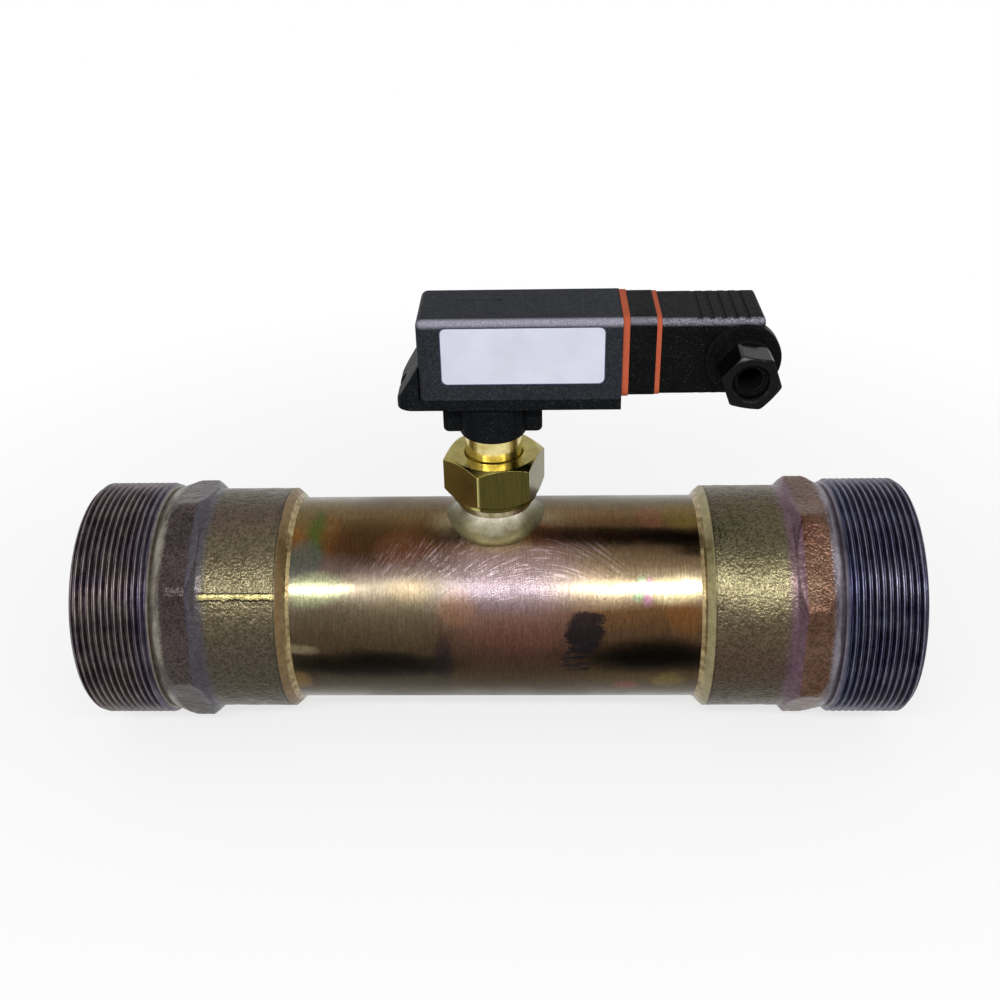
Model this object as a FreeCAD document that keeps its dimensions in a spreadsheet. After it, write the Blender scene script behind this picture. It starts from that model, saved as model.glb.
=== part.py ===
import FreeCAD, Part
import math
import os
import re
import Sketcher

# Paddle flow switch for a 2 1/2 in copper line: a soldered measuring tube with two threaded cast
# adapters, a magnet paddle hanging in the flow, and a reed contact in a plastic head above it.
# Frame: millimetres, origin at the centre of the inlet end face, +X with the flow, +Z to the head.

doc = FreeCAD.newDocument("PaddleFlowSwitch")
sheet = doc.addObject("Spreadsheet::Sheet", "Sizes")

SIZES = [
    # pipe run
    ("total_length", 300), ("tube_diameter", 76.1), ("tube_wall", 2), ("socket_depth", 33.3),
    ("solder_width", 1.8), ("solder_rise", 1.5), ("solder_gap", 0.01), ("socket_play", 0.05),
    # cast adapter, its axial stations one after the other from the threaded end
    ("thread_diameter", 87.88), ("thread_length", 26.5), ("thread_chamfer", 1.7),
    ("thread_pitch", 2.309), ("thread_depth", 1.48), ("thread_crest", 0.4), ("thread_root", 0.37),
    ("bore_chamfer", 1.2), ("relief_depth", 1.7), ("relief_width", 4.2),
    ("octagon_step", 0.55), ("octagon_corner_rise", 2.75), ("octagon_run_up", 3.8),
    ("octagon_width", 7.2), ("octagon_run_down", 2.8), ("cup_wall", 3.65),
    ("cup_length", 28.5), ("mouth_length", 2.3), ("mouth_drop", 2.1),
    ("inlet_octagon_turn", 7.7), ("outlet_octagon_turn", 27.3),
    # branch on top of the tube
    ("switch_x", 150), ("boss_diameter", 26.44), ("boss_bore", 19), ("boss_height", 18.95),
    ("boss_chamfer", 0.8), ("braze_radius", 8), ("braze_gap", 0.01), ("union_gasket_thickness", 1.5),
    ("union_gasket_inset", 0.2),
    # union nut
    ("nut_wall", 2.78), ("nut_height", 17.1), ("nut_crown", 2.3), ("nut_face_step", 0.4),
    ("nut_top_slope", 30), ("nut_lip_step", 0.7), ("nut_lip_height", 1.3),
    ("nut_bottom_slope", 40), ("nut_turn", 13), ("nut_play", 0.05), ("nut_hole_play", 0.15),
    ("nut_hole_chamfer", 0.6),
    # pressure-tight sleeve
    ("sleeve_diameter", 20), ("sleeve_bore", 16), ("sleeve_cap", 2), ("sleeve_rise", 29),
    ("guide_length", 7), ("guide_play", 0.2), ("collar_inset", 1.22),
    ("collar_thickness", 2.5), ("sleeve_chamfer", 0.8),
    # paddle
    ("pivot_rise", 1.5), ("pin_diameter", 2), ("pin_play", 0.03), ("pin_fit", 0.01),
    ("pin_inset", 0.2), ("hub_diameter", 6), ("hub_play", 1), ("arm_width", 6),
    ("arm_thickness", 2), ("arm_overlap", 8), ("cup_magnet_diameter", 5),
    ("cup_magnet_length", 5), ("magnet_wall", 0.5), ("magnet_floor", 1), ("magnet_room", 2),
    ("blade_width", 17), ("blade_thickness", 0.6), ("blade_drop", 30), ("blade_floor_gap", 16.05),
    ("blade_corner", 6), ("rivet_diameter", 2), ("rivet_head", 3.6), ("rivet_head_height", 0.8),
    ("rivet_inset", 2), ("rivet_pitch", 4),
    # head housing
    ("housing_left", -24), ("housing_right", 43.5), ("housing_width", 30),
    ("sleeve_entry", 3.5), ("tray_height", 3.8), ("housing_height", 32), ("housing_wall", 2),
    ("floor_thickness", 2), ("housing_corner", 2.6), ("housing_edge", 2.2), ("cover_gap", 0.05),
    ("neck_wall", 1.7), ("neck_length", 15), ("neck_edge", 1), ("sleeve_fit", 0.05),
    ("ear_span", 34.6), ("ear_thickness", 4), ("ear_height", 14.5), ("ear_radius", 2),
    ("hub_ring_wall", 1.5), ("sleeve_head_room", 0.3), ("reset_floor", 1),
    ("reset_magnet_diameter", 6), ("reset_magnet_length", 2.5), ("magnet_fit", 0.02),
    # adjusting dome on the left end
    ("dome_reach", 7.8), ("dome_corner", 5.6), ("dome_height", 15.5),
    ("dome_shoulder_height", 3.1), ("dome_edge", 1.6),
    ("screw_rise", 4.5), ("setscrew_diameter", 3), ("setscrew_play", 0.05),
    ("setscrew_overrun", 1), ("setscrew_head_diameter", 5), ("setscrew_head_length", 2.4),
    ("setscrew_seat_depth", 2.4), ("clip_diameter", 4.4), ("clip_thickness", 0.6),
    ("clip_gap", 0.1), ("notch_width", 6), ("slot_width", 0.8), ("slot_depth", 1),
    # reed carriage
    ("leg_gap", 2), ("leg_length", 6), ("runner_gap", 0.3), ("rail_post_gap", 1.4),
    ("rail_thickness", 1), ("rail_height", 3.5), ("deck_gap", 0.6), ("deck_thickness", 3.6),
    ("deck_right", -2), ("deck_width", 12), ("reed_x", -6), ("reed_diameter", 2.4),
    ("reed_length", 15), ("reed_play", 0.05), ("reed_lead_diameter", 0.6),
    ("reed_lead_length", 3),
    # cover screws and posts
    ("post_diameter", 5), ("post_inset", 5.5), ("post_side_gap", 0.3),
    ("post_gap", 0.1), ("cover_screw_diameter", 2.6), ("cover_screw_length", 14),
    ("cover_screw_head", 4.8), ("cover_screw_head_height", 0.9), ("screw_hole_play", 0.3),
    ("head_recess_depth", 1), ("head_recess_play", 0.2),
    # rating label and flow arrow
    ("label_inset_left", 7.8), ("label_inset_right", 5.5), ("label_height", 20.3),
    ("label_thickness", 0.15), ("label_corner", 2),
    ("arrow_inset", 12.5), ("arrow_length", 13.6), ("arrow_line", 0.5), ("arrow_head_length", 2.8),
    ("arrow_head_width", 2.2), ("arrow_head_gap", 0.3), ("arrow_depth", 0.3), ("arrow_y", 3.6),
    # rectangular connector
    ("base_gasket_thickness", 2.2), ("base_gasket_size", 28.8),
    ("connector_size", 28.2), ("connector_length", 8.7), ("connector_corner", 3.4),
    ("spigot_size", 16), ("spigot_play", 0.4), ("spigot_depth", 3),
    ("plug_gasket_thickness", 1.6), ("plug_gasket_size", 28), ("plug_gasket_window", 21),
    ("insert_diameter", 6), ("insert_length", 7), ("plug_screw_diameter", 3),
    ("plug_screw_play", 0.05), ("connector_screw_pitch", 21), ("connector_screw_diameter", 2.6),
    ("connector_screw_head", 4.6), ("connector_screw_head_height", 1.6),
    ("connector_screw_sink", 0.2), ("screw_tip_gap", 0.1),
    ("pin_width", 6.3), ("pin_thickness", 0.8), ("pin_reach", 9), ("pin_tail", 5),
    ("pin_offset", 6.5), ("pin_slot_play", 0.2),
    # plug
    ("plug_width", 27.5), ("plug_height", 26.8), ("plug_length", 33.3), ("plug_wall", 2.2),
    ("plug_end_wall", 4), ("plug_corner", 2.3), ("plug_edge", 1.2), ("groove_width", 1.7),
    ("groove_depth", 0.5), ("groove_pitch", 3.8), ("groove_first", 11.5), ("groove_count", 5),
    ("terminal_play", 0.1), ("terminal_length", 12), ("terminal_inset", 1),
    ("terminal_screw_diameter", 3.4), ("terminal_screw_length", 1.6),
    ("terminal_slot_width", 0.6), ("terminal_slot_depth", 0.6),
    ("plug_screw_head", 5.6), ("plug_screw_head_height", 2.2), ("plug_screw_end", 5),
    ("plug_screw_recess", 2.8), ("plug_hole_play", 0.2),
    # cable gland on the plug's front
    ("gland_inset", 6.8), ("gland_boss_diameter", 24.8), ("gland_boss_height", 2.75),
    ("gland_boss_edge", 1), ("gland_collar_rim", 1.4), ("gland_collar_length", 6),
    ("gland_thread", 15.2), ("gland_tube_length", 8), ("gland_tube_wall", 1.4),
    ("gland_seat_depth", 6.5), ("gland_nut_side", 0.9), ("gland_nut_rim", 1.1),
    ("gland_nut_gap", 0.8), ("gland_nut_wall", 2.5), ("gland_nut_chamfer", 0.9),
    ("gland_nut_face_step", 0.3), ("gland_nut_slope", 30), ("gland_nut_turn", -9.7),
    ("gland_play", 0.05), ("cable_hole", 8), ("passage_play", 0.7), ("nut_hole_room", 1.5),
    ("seal_play", 0.1), ("washer_thickness", 0.6), ("washer_hole_play", 0.3),
    ("washer_side_gap", 0.3), ("washer_gap", 0.1), ("washer_room", 1),
]

# Places that follow from the sizes above.
DERIVED = {
    # pipe run
    "cup_diameter": "tube_diameter + 2 * cup_wall",
    "octagon_flats": "cup_diameter + 2 * octagon_step",
    "octagon_corners": "octagon_flats + 2 * octagon_corner_rise",
    "adapter_bore": "tube_diameter - 2 * tube_wall",
    "relief_end": "thread_length + relief_width",
    "thread_flank": "(thread_pitch - thread_crest - thread_root) / 2",
    "thread_lead_in": "1.5 * thread_pitch",
    "octagon_full": "relief_end + octagon_run_up",
    "octagon_full_end": "octagon_full + octagon_width",
    "cup_start": "octagon_full_end + octagon_run_down",
    "cup_end": "cup_start + cup_length",
    "mouth": "cup_end + mouth_length",
    "tube_start": "mouth - socket_depth",
    "tube_length": "total_length - 2 * tube_start",
    "socket_radius": "tube_diameter / 2 + socket_play",
    # branch and union
    "boss_top": "tube_diameter / 2 + boss_height",
    "collar_bottom": "boss_top + union_gasket_thickness",
    "collar_top": "collar_bottom + collar_thickness",
    "collar_diameter": "boss_diameter - 2 * collar_inset",
    "nut_flats": "boss_diameter + 2 * nut_wall",
    "nut_top": "collar_top + nut_crown",
    "nut_bottom": "nut_top - nut_height",
    "sleeve_bottom": "boss_top - guide_length",
    "sleeve_top": "collar_top + sleeve_rise",
    "guide_diameter": "boss_bore - 2 * guide_play",
    # paddle
    "pivot_z": "collar_bottom + pivot_rise",
    "hub_width": "sleeve_bore - 2 * hub_play",
    "magnet_top": "sleeve_top - sleeve_cap - magnet_room",
    "blade_top": "pivot_z - blade_drop",
    "blade_tip": "blade_floor_gap - adapter_bore / 2",
    "arm_bottom": "blade_top - arm_overlap",
    "rivet_upper": "blade_top - rivet_inset",
    "rivet_lower": "rivet_upper - rivet_pitch",
    # head, upwards
    "housing_bottom": "sleeve_top - sleeve_entry",
    "parting_z": "housing_bottom + tray_height",
    "housing_top": "housing_bottom + housing_height",
    "neck_bottom": "housing_bottom - neck_length",
    "neck_diameter": "sleeve_diameter + 2 * neck_wall",
    "ear_bottom": "housing_bottom - ear_height",
    "floor_top": "housing_bottom + floor_thickness",
    "hub_floor": "sleeve_top + sleeve_head_room",
    "hub_ring_diameter": "sleeve_diameter + 2 * hub_ring_wall",
    "reset_seat": "hub_floor + reset_floor",
    "hub_ring_top": "reset_seat + reset_magnet_length",
    "dome_left": "housing_left - dome_reach",
    "dome_top": "housing_bottom + dome_height",
    "dome_shoulder": "housing_bottom + dome_shoulder_height",
    "screw_z": "housing_bottom + screw_rise",
    "setscrew_seat": "housing_left - setscrew_seat_depth",
    "leg_left": "housing_left + housing_wall + leg_gap",
    "setscrew_end": "leg_left + leg_length + setscrew_overrun",
    "leg_bottom": "floor_top + runner_gap",
    "rail_top": "floor_top + rail_height",
    "deck_bottom": "hub_ring_top + deck_gap",
    "deck_top": "deck_bottom + deck_thickness",
    "reed_z": "deck_top - reed_diameter / 4",
    "post_left": "housing_left + post_inset",
    "pin_tail_x": "connector_x - base_gasket_thickness - spigot_depth - pin_tail",
    "post_right": "pin_tail_x - post_side_gap - post_diameter / 2",
    "post_y": "housing_width / 2 - housing_wall - post_diameter / 2 - post_side_gap",
    "rail_outside": "post_y - post_diameter / 2 - rail_post_gap",
    "leg_width": "2 * (rail_outside - rail_thickness - runner_gap)",
    "label_top": "housing_top - housing_edge",
    "arrow_left": "housing_left + arrow_inset",
    "arrow_head_left": "arrow_left + arrow_length + arrow_head_gap",
    # connector and plug, from left to right
    "connector_z": "(parting_z + housing_top) / 2",
    "connector_x": "housing_right + base_gasket_thickness",
    "plug_gasket_x": "connector_x + connector_length",
    "plug_x": "plug_gasket_x + plug_gasket_thickness",
    "plug_end": "plug_x + plug_length",
    "terminal_x": "plug_x + terminal_inset",
    "head_seat_x": "plug_end - plug_screw_recess",
    "connector_screw_seat": "connector_length - connector_screw_head_height - connector_screw_sink",
    # gland, outwards from the plug's middle
    "gland_x": "plug_end - gland_inset",
    "gland_boss_end": "plug_width / 2 + gland_boss_height",
    "gland_collar_end": "gland_boss_end + gland_collar_length",
    "gland_tube_end": "gland_collar_end + gland_tube_length",
    "gland_collar_diameter": "gland_thread + 2 * gland_collar_rim",
    "gland_seat_diameter": "gland_thread - 2 * gland_tube_wall",
    "gland_seat_start": "gland_tube_end - gland_seat_depth",
    "gland_passage": "cable_hole + 2 * passage_play",
    "gland_nut_flats": "gland_thread + 2 * gland_nut_side",
    "gland_nut_corners": "gland_nut_flats + 2 * gland_nut_rim",
    "gland_nut_start": "gland_collar_end + gland_nut_gap",
    "gland_nut_inside": "gland_tube_end + washer_room",
    "gland_nut_end": "gland_nut_inside + gland_nut_wall",
    "gland_nut_hole": "cable_hole + 2 * nut_hole_room",
    "washer_outer": "gland_nut_inside - washer_gap",
}


def expand(text):
    """Write derived places out in full, so that an expression holds only names of the sheet."""
    found = True
    while found:
        found = False
        for name, meaning in DERIVED.items():
            text, count = re.subn(rf"\b{name}\b", f"({meaning})", text)
            found = found or count > 0
    return text


NAMES = {name for name, _ in SIZES}


def link(text):
    """Turn the plain names in an expression into references to the sheet's cells."""
    return re.sub(r"[a-z_]+[a-z0-9_]*", lambda m: f"Sizes.{m[0]}" if m[0] in NAMES else m[0],
                  expand(text))


def value(text):
    return float(sheet.evalExpression(link(text)))


def fill_sheet():
    for row, (name, number) in enumerate(SIZES, start=1):
        sheet.set(f"A{row}", name)
        sheet.set(f"B{row}", str(number))
        sheet.setAlias(f"B{row}", name)
    doc.recompute()


# ---------------------------------------------------------------- building blocks

def new_body(label, x="0", y="0", z="0", turned_round=False):
    """A body of its own, placed from the sheet; it can be turned end for end about the vertical."""
    body = doc.addObject("PartDesign::Body", label)
    body.Label = label
    half_turn = FreeCAD.Rotation(FreeCAD.Vector(0, 0, 1), 180 if turned_round else 0)
    body.Placement = FreeCAD.Placement(FreeCAD.Vector(), half_turn)
    for letter, place in zip("xyz", (x, y, z)):
        body.setExpression(f"Placement.Base.{letter}", link(place))
    return body


def sketch_on(body, role, offset="0"):
    """An empty sketch on one of the body's own origin planes, lifted along the plane's normal."""
    sketch = body.newObject("Sketcher::SketchObject", body.Label + "_sketch")
    plane = next(part for part in body.Origin.OriginFeatures if part.Role == role)
    sketch.AttachmentSupport = [(plane, "")]
    sketch.MapMode = "FlatFace"
    sketch.setExpression("AttachmentOffset.Base.z", link(offset))
    return sketch


def bind(sketch, constraint, text):
    index = sketch.addConstraint(constraint)
    sketch.setExpression(f"Constraints[{index}]", link(text))


def polygon(sketch, corners):
    """A closed outline through corners given as pairs of expressions."""
    spots = [(value(x), value(y)) for x, y in corners]
    first = sketch.GeometryCount
    count = len(corners)
    for i, (x, y) in enumerate(spots):
        x2, y2 = spots[(i + 1) % count]
        sketch.addGeometry(Part.LineSegment(FreeCAD.Vector(x, y, 0), FreeCAD.Vector(x2, y2, 0)))
    for i in range(count):
        sketch.addConstraint(Sketcher.Constraint("Coincident", first + i, 2,
                                                 first + (i + 1) % count, 1))
    for i, (x, y) in enumerate(corners):
        bind(sketch, Sketcher.Constraint("DistanceX", -1, 1, first + i, 1, spots[i][0]), x)
        bind(sketch, Sketcher.Constraint("DistanceY", -1, 1, first + i, 1, spots[i][1]), y)


def circle(sketch, radius, x="0", y="0"):
    centre = FreeCAD.Vector(value(x), value(y), 0)
    one = sketch.addGeometry(Part.Circle(centre, FreeCAD.Vector(0, 0, 1), value(radius)))
    bind(sketch, Sketcher.Constraint("Radius", one, value(radius)), radius)
    bind(sketch, Sketcher.Constraint("DistanceX", -1, 1, one, 3, centre.x), x)
    bind(sketch, Sketcher.Constraint("DistanceY", -1, 1, one, 3, centre.y), y)


def rectangle(sketch, left, right, low, high):
    polygon(sketch, [(left, low), (right, low), (right, high), (left, high)])


def regular(sketch, sides, flats, turn):
    """A regular polygon about the origin by its width across flats; turn is one corner's angle."""
    radius = f"{flats} / 2 / cos(180 deg / {sides})"
    turns = [f"({turn} + {360 / sides * k}) * 1 deg" for k in range(sides)]
    polygon(sketch, [(f"{radius} * cos({turn})", f"{radius} * sin({turn})") for turn in turns])


def settle(body, feature):
    doc.recompute()
    body.Tip = feature
    if not body.Shape.isValid() or len(body.Shape.Solids) != 1:
        raise ValueError(f"{feature.Name} spoils {body.Label}")
    return feature


def pad(body, sketch, length, backwards=False, both_ways=False):
    feature = body.newObject("PartDesign::Pad", body.Label + "_pad")
    feature.Profile = sketch
    feature.Reversed = backwards
    feature.SideType = "Symmetric" if both_ways else "One side"
    feature.setExpression("Length", link(length))
    return settle(body, feature)


def pocket(body, sketch, length, along_normal=True, both_ways=False):
    """Cut away; a pocket that takes nothing from the body is an error."""
    before = body.Shape.Volume
    feature = body.newObject("PartDesign::Pocket", body.Label + "_pocket")
    feature.Profile = sketch
    feature.Reversed = along_normal
    feature.SideType = "Symmetric" if both_ways else "One side"
    feature.setExpression("Length", link(length))
    settle(body, feature)
    if body.Shape.Volume > before - 1e-6:
        raise ValueError(f"a pocket of {body.Label} cuts nothing")
    return feature


def revolve(body, sketch, axis):
    feature = body.newObject("PartDesign::Revolution", body.Label + "_turned")
    feature.Profile = sketch
    feature.ReferenceAxis = (sketch, [axis])
    feature.Angle = 360
    return settle(body, feature)


def groove(body, sketch, axis):
    before = body.Shape.Volume
    feature = body.newObject("PartDesign::Groove", body.Label + "_groove")
    feature.Profile = sketch
    feature.ReferenceAxis = (sketch, [axis])
    feature.Angle = 360
    settle(body, feature)
    if body.Shape.Volume > before - 1e-6:
        raise ValueError(f"a groove of {body.Label} cuts nothing")
    return feature


def cut_thread(body, sketch, axis, pitch, length):
    """Cut the sketched groove along a right-hand helix."""
    feature = body.newObject("PartDesign::SubtractiveHelix", body.Label + "_thread")
    feature.Profile = sketch
    feature.ReferenceAxis = (sketch, [axis])
    feature.Mode = "pitch-height-angle"
    feature.setExpression("Pitch", link(pitch))
    feature.setExpression("Height", link(length))
    return settle(body, feature)


def round_edges(body, radius, wanted):
    """Fillet every edge of the body that the test picks."""
    base = body.Tip
    names = [f"Edge{i}" for i, edge in enumerate(base.Shape.Edges, start=1) if wanted(edge)]
    feature = body.newObject("PartDesign::Fillet", body.Label + "_fillet")
    feature.Base = (base, names)
    feature.setExpression("Radius", link(radius))
    return settle(body, feature)


def runs_along(edge, letter):
    """True for a straight edge parallel to one of the body's axes."""
    if edge.Curve.TypeId != "Part::GeomLine":
        return False
    return abs(getattr(edge.Curve.Direction, letter)) > 0.999


def lies_at(edge, letter, text):
    """True where the whole edge lies in one plane across the given axis."""
    box = edge.BoundBox
    place = value(text)
    low, high = getattr(box, letter.upper() + "Min"), getattr(box, letter.upper() + "Max")
    return abs(low - place) < 1e-4 and abs(high - place) < 1e-4


def turned_part(label, corners, plane="XZ_Plane", axis="V_Axis", **place):
    """A piece turned about an axis of its sketch from one closed outline."""
    body = new_body(label, **place)
    sketch = sketch_on(body, plane)
    polygon(sketch, corners)
    revolve(body, sketch, axis)
    return body


HEAD = {"x": "switch_x"}


# ---------------------------------------------------------------- pipe run

def measuring_tube():
    body = new_body("measuring_tube")
    wall = sketch_on(body, "YZ_Plane", "tube_start")
    circle(wall, "tube_diameter / 2")
    circle(wall, "tube_diameter / 2 - tube_wall")
    pad(body, wall, "tube_length")
    hole = sketch_on(body, "XY_Plane")
    circle(hole, "boss_bore / 2", x="switch_x")
    pocket(body, hole, "tube_diameter / 2")


def adapter(label, turn, **place):
    """Cast solder adapter, drawn from its threaded end; turn is where its octagon stands."""
    body = new_body(label, **place)
    thread = "thread_diameter / 2"
    root = "thread_diameter / 2 - relief_depth"
    profile = sketch_on(body, "XZ_Plane")
    polygon(profile, [
        ("0", "adapter_bore / 2 + bore_chamfer"),
        ("0", f"{thread} - thread_chamfer"),
        ("thread_chamfer", thread),
        ("thread_length", thread),
        ("thread_length + relief_depth", root),
        ("relief_end", root),
        ("octagon_full", "octagon_corners / 2"),
        ("octagon_full_end", "octagon_corners / 2"),
        ("cup_start", "cup_diameter / 2"),
        ("cup_end", "cup_diameter / 2"),
        ("mouth", "cup_diameter / 2 - mouth_drop"),
        ("mouth", "socket_radius"),
        ("tube_start", "socket_radius"),
        ("tube_start", "adapter_bore / 2"),
        ("bore_chamfer", "adapter_bore / 2"),
    ])
    revolve(body, profile, "H_Axis")
    flats = sketch_on(body, "YZ_Plane", "relief_end")
    circle(flats, "octagon_corners")
    regular(flats, 8, "octagon_flats", turn)
    pocket(body, flats, "octagon_run_up + octagon_width + octagon_run_down")
    # the groove starts ahead of the end face and runs out in the relief
    vee = sketch_on(body, "XZ_Plane")
    polygon(vee, [
        ("-thread_lead_in - thread_root / 2", f"{thread} - thread_depth"),
        ("-thread_lead_in + thread_root / 2", f"{thread} - thread_depth"),
        ("-thread_lead_in + thread_root / 2 + 1.1 * thread_flank", f"{thread} + 0.1 * thread_depth"),
        ("-thread_lead_in - thread_root / 2 - 1.1 * thread_flank", f"{thread} + 0.1 * thread_depth"),
    ])
    cut_thread(body, vee, "H_Axis", "thread_pitch",
               "relief_end + thread_lead_in - thread_root / 2 - thread_flank")


def solder_fillet(label, x, sign):
    """Ring of solder in the corner between a cup's mouth and the tube."""
    turned_part(label, [
        ("0", "tube_diameter / 2 + solder_gap"),
        ("0", "tube_diameter / 2 + solder_rise"),
        (f"{sign} * solder_width * 0.35", "tube_diameter / 2 + solder_rise * 0.4"),
        (f"{sign} * solder_width", "tube_diameter / 2 + solder_gap"),
    ], axis="H_Axis", x=x)


def branch_boss():
    body = turned_part("branch_boss", [
        ("boss_bore / 2", "tube_diameter / 4"),
        ("boss_diameter / 2", "tube_diameter / 4"),
        ("boss_diameter / 2", "boss_top - boss_chamfer"),
        ("boss_diameter / 2 - boss_chamfer", "boss_top"),
        ("boss_bore / 2", "boss_top"),
    ], **HEAD)
    saddle = sketch_on(body, "YZ_Plane")
    circle(saddle, "tube_diameter / 2")
    pocket(body, saddle, "boss_diameter * 2", both_ways=True)


def branch_braze():
    """The braze metal is what a fillet adds in the corner between boss and tube."""
    body = new_body("branch_braze", **HEAD)
    tube = sketch_on(body, "YZ_Plane")
    circle(tube, "tube_diameter / 2")
    pad(body, tube, "boss_diameter * 3", both_ways=True)
    boss = sketch_on(body, "XY_Plane")
    circle(boss, "boss_diameter / 2")
    pad(body, boss, "boss_top")
    reach, top = value("boss_diameter / 2"), value("tube_diameter / 2")
    round_edges(body, "braze_radius", lambda edge: all(
        abs(math.hypot(spot.x, spot.y) - reach) < 0.01 and 0 < spot.z < top + 0.01
        for spot in edge.discretize(5)))
    core = sketch_on(body, "YZ_Plane")
    circle(core, "tube_diameter / 2 + braze_gap")
    pocket(body, core, "boss_diameter * 4", both_ways=True)
    hole = sketch_on(body, "XY_Plane")
    circle(hole, "boss_diameter / 2 + braze_gap")
    pocket(body, hole, "boss_top + 1")


def union_nut():
    body = new_body("union_nut", **HEAD)
    hexagon = sketch_on(body, "XY_Plane", "nut_bottom")
    regular(hexagon, 6, "nut_flats", "nut_turn")
    pad(body, hexagon, "nut_top - nut_bottom")
    outer = "nut_flats"
    face = "nut_flats / 2 - nut_face_step"
    crown = sketch_on(body, "XZ_Plane")
    polygon(crown, [
        (face, "nut_top"),
        (outer, f"nut_top - ({outer} - ({face})) * tan(nut_top_slope * 1 deg)"),
        (outer, "nut_top + 1"),
        (face, "nut_top + 1"),
    ])
    groove(body, crown, "V_Axis")
    lip = "nut_flats / 2 - nut_lip_step"
    skirt = sketch_on(body, "XZ_Plane")
    polygon(skirt, [
        (lip, "nut_bottom - 1"),
        (outer, "nut_bottom - 1"),
        (outer, f"nut_bottom + nut_lip_height + ({outer} - ({lip})) * tan(nut_bottom_slope * 1 deg)"),
        (lip, "nut_bottom + nut_lip_height"),
    ])
    groove(body, skirt, "V_Axis")
    thread = "boss_diameter / 2 + nut_play"
    hole = "sleeve_diameter / 2 + nut_hole_play"
    bore = sketch_on(body, "XZ_Plane")
    polygon(bore, [
        ("0", "nut_bottom - 1"),
        (f"{thread} + nut_hole_chamfer", "nut_bottom - 1"),
        (f"{thread} + nut_hole_chamfer", "nut_bottom"),
        (thread, "nut_bottom + nut_hole_chamfer"),
        (thread, "collar_top"),
        (hole, "collar_top"),
        (hole, "nut_top - nut_hole_chamfer"),
        (f"{hole} + nut_hole_chamfer", "nut_top"),
        (f"{hole} + nut_hole_chamfer", "nut_top + 1"),
        ("0", "nut_top + 1"),
    ])
    groove(body, bore, "V_Axis")


def union_gasket():
    turned_part("union_gasket", [
        ("boss_bore / 2 + union_gasket_inset", "boss_top"),
        ("boss_diameter / 2 - union_gasket_inset", "boss_top"),
        ("boss_diameter / 2 - union_gasket_inset", "collar_bottom"),
        ("boss_bore / 2 + union_gasket_inset", "collar_bottom"),
    ], **HEAD)


# ---------------------------------------------------------------- sleeve and paddle

def switch_sleeve():
    body = turned_part("switch_sleeve", [
        ("sleeve_bore / 2", "sleeve_bottom"),
        ("guide_diameter / 2", "sleeve_bottom"),
        ("guide_diameter / 2", "collar_bottom"),
        ("collar_diameter / 2", "collar_bottom"),
        ("collar_diameter / 2", "collar_top"),
        ("sleeve_diameter / 2", "collar_top"),
        ("sleeve_diameter / 2", "sleeve_top - sleeve_chamfer"),
        ("sleeve_diameter / 2 - sleeve_chamfer", "sleeve_top"),
        ("0", "sleeve_top"),
        ("0", "sleeve_top - sleeve_cap"),
        ("sleeve_bore / 2", "sleeve_top - sleeve_cap"),
    ], **HEAD)
    cross = sketch_on(body, "XZ_Plane")
    circle(cross, "pin_diameter / 2 + pin_fit", y="pivot_z")
    pocket(body, cross, "collar_diameter * 2", both_ways=True)


def pivot_pin():
    body = new_body("pivot_pin", **HEAD)
    sketch = sketch_on(body, "XZ_Plane")
    circle(sketch, "pin_diameter / 2", y="pivot_z")
    pad(body, sketch, "collar_diameter - 2 * pin_inset", both_ways=True)


def paddle_lever():
    """Lever with its bearing hub, a magnet cup on top and the blade's seat below."""
    body = new_body("paddle_lever", **HEAD)
    hub = sketch_on(body, "XZ_Plane")
    circle(hub, "hub_diameter / 2", y="pivot_z")
    pad(body, hub, "hub_width", both_ways=True)
    arm = sketch_on(body, "XZ_Plane")
    rectangle(arm, "-arm_thickness / 2", "arm_thickness / 2",
              "arm_bottom", "magnet_top - cup_magnet_length - magnet_floor / 2")
    pad(body, arm, "arm_width", both_ways=True)
    cup = sketch_on(body, "XY_Plane", "magnet_top - cup_magnet_length - magnet_floor")
    circle(cup, "cup_magnet_diameter / 2 + magnet_wall")
    pad(body, cup, "cup_magnet_length + magnet_floor")
    seat = sketch_on(body, "XY_Plane", "magnet_top - cup_magnet_length")
    circle(seat, "cup_magnet_diameter / 2 + magnet_fit")
    pocket(body, seat, "cup_magnet_length")
    bearing = sketch_on(body, "XZ_Plane")
    circle(bearing, "pin_diameter / 2 + pin_play", y="pivot_z")
    pocket(body, bearing, "hub_width * 2", both_ways=True)
    holes = sketch_on(body, "YZ_Plane")
    for place in ("rivet_upper", "rivet_lower"):
        circle(holes, "rivet_diameter / 2", y=place)
    pocket(body, holes, "arm_thickness * 4", both_ways=True)


def paddle_blade():
    """Thin blade on the lever's upstream face."""
    body = new_body("paddle_blade", **HEAD)
    outline = sketch_on(body, "YZ_Plane", "-arm_thickness / 2 - blade_thickness")
    rectangle(outline, "-blade_width / 2", "blade_width / 2", "blade_tip", "blade_top")
    for place in ("rivet_upper", "rivet_lower"):
        circle(outline, "rivet_diameter / 2", y=place)
    pad(body, outline, "blade_thickness")
    round_edges(body, "blade_corner", lambda edge: runs_along(edge, "x"))


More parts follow.
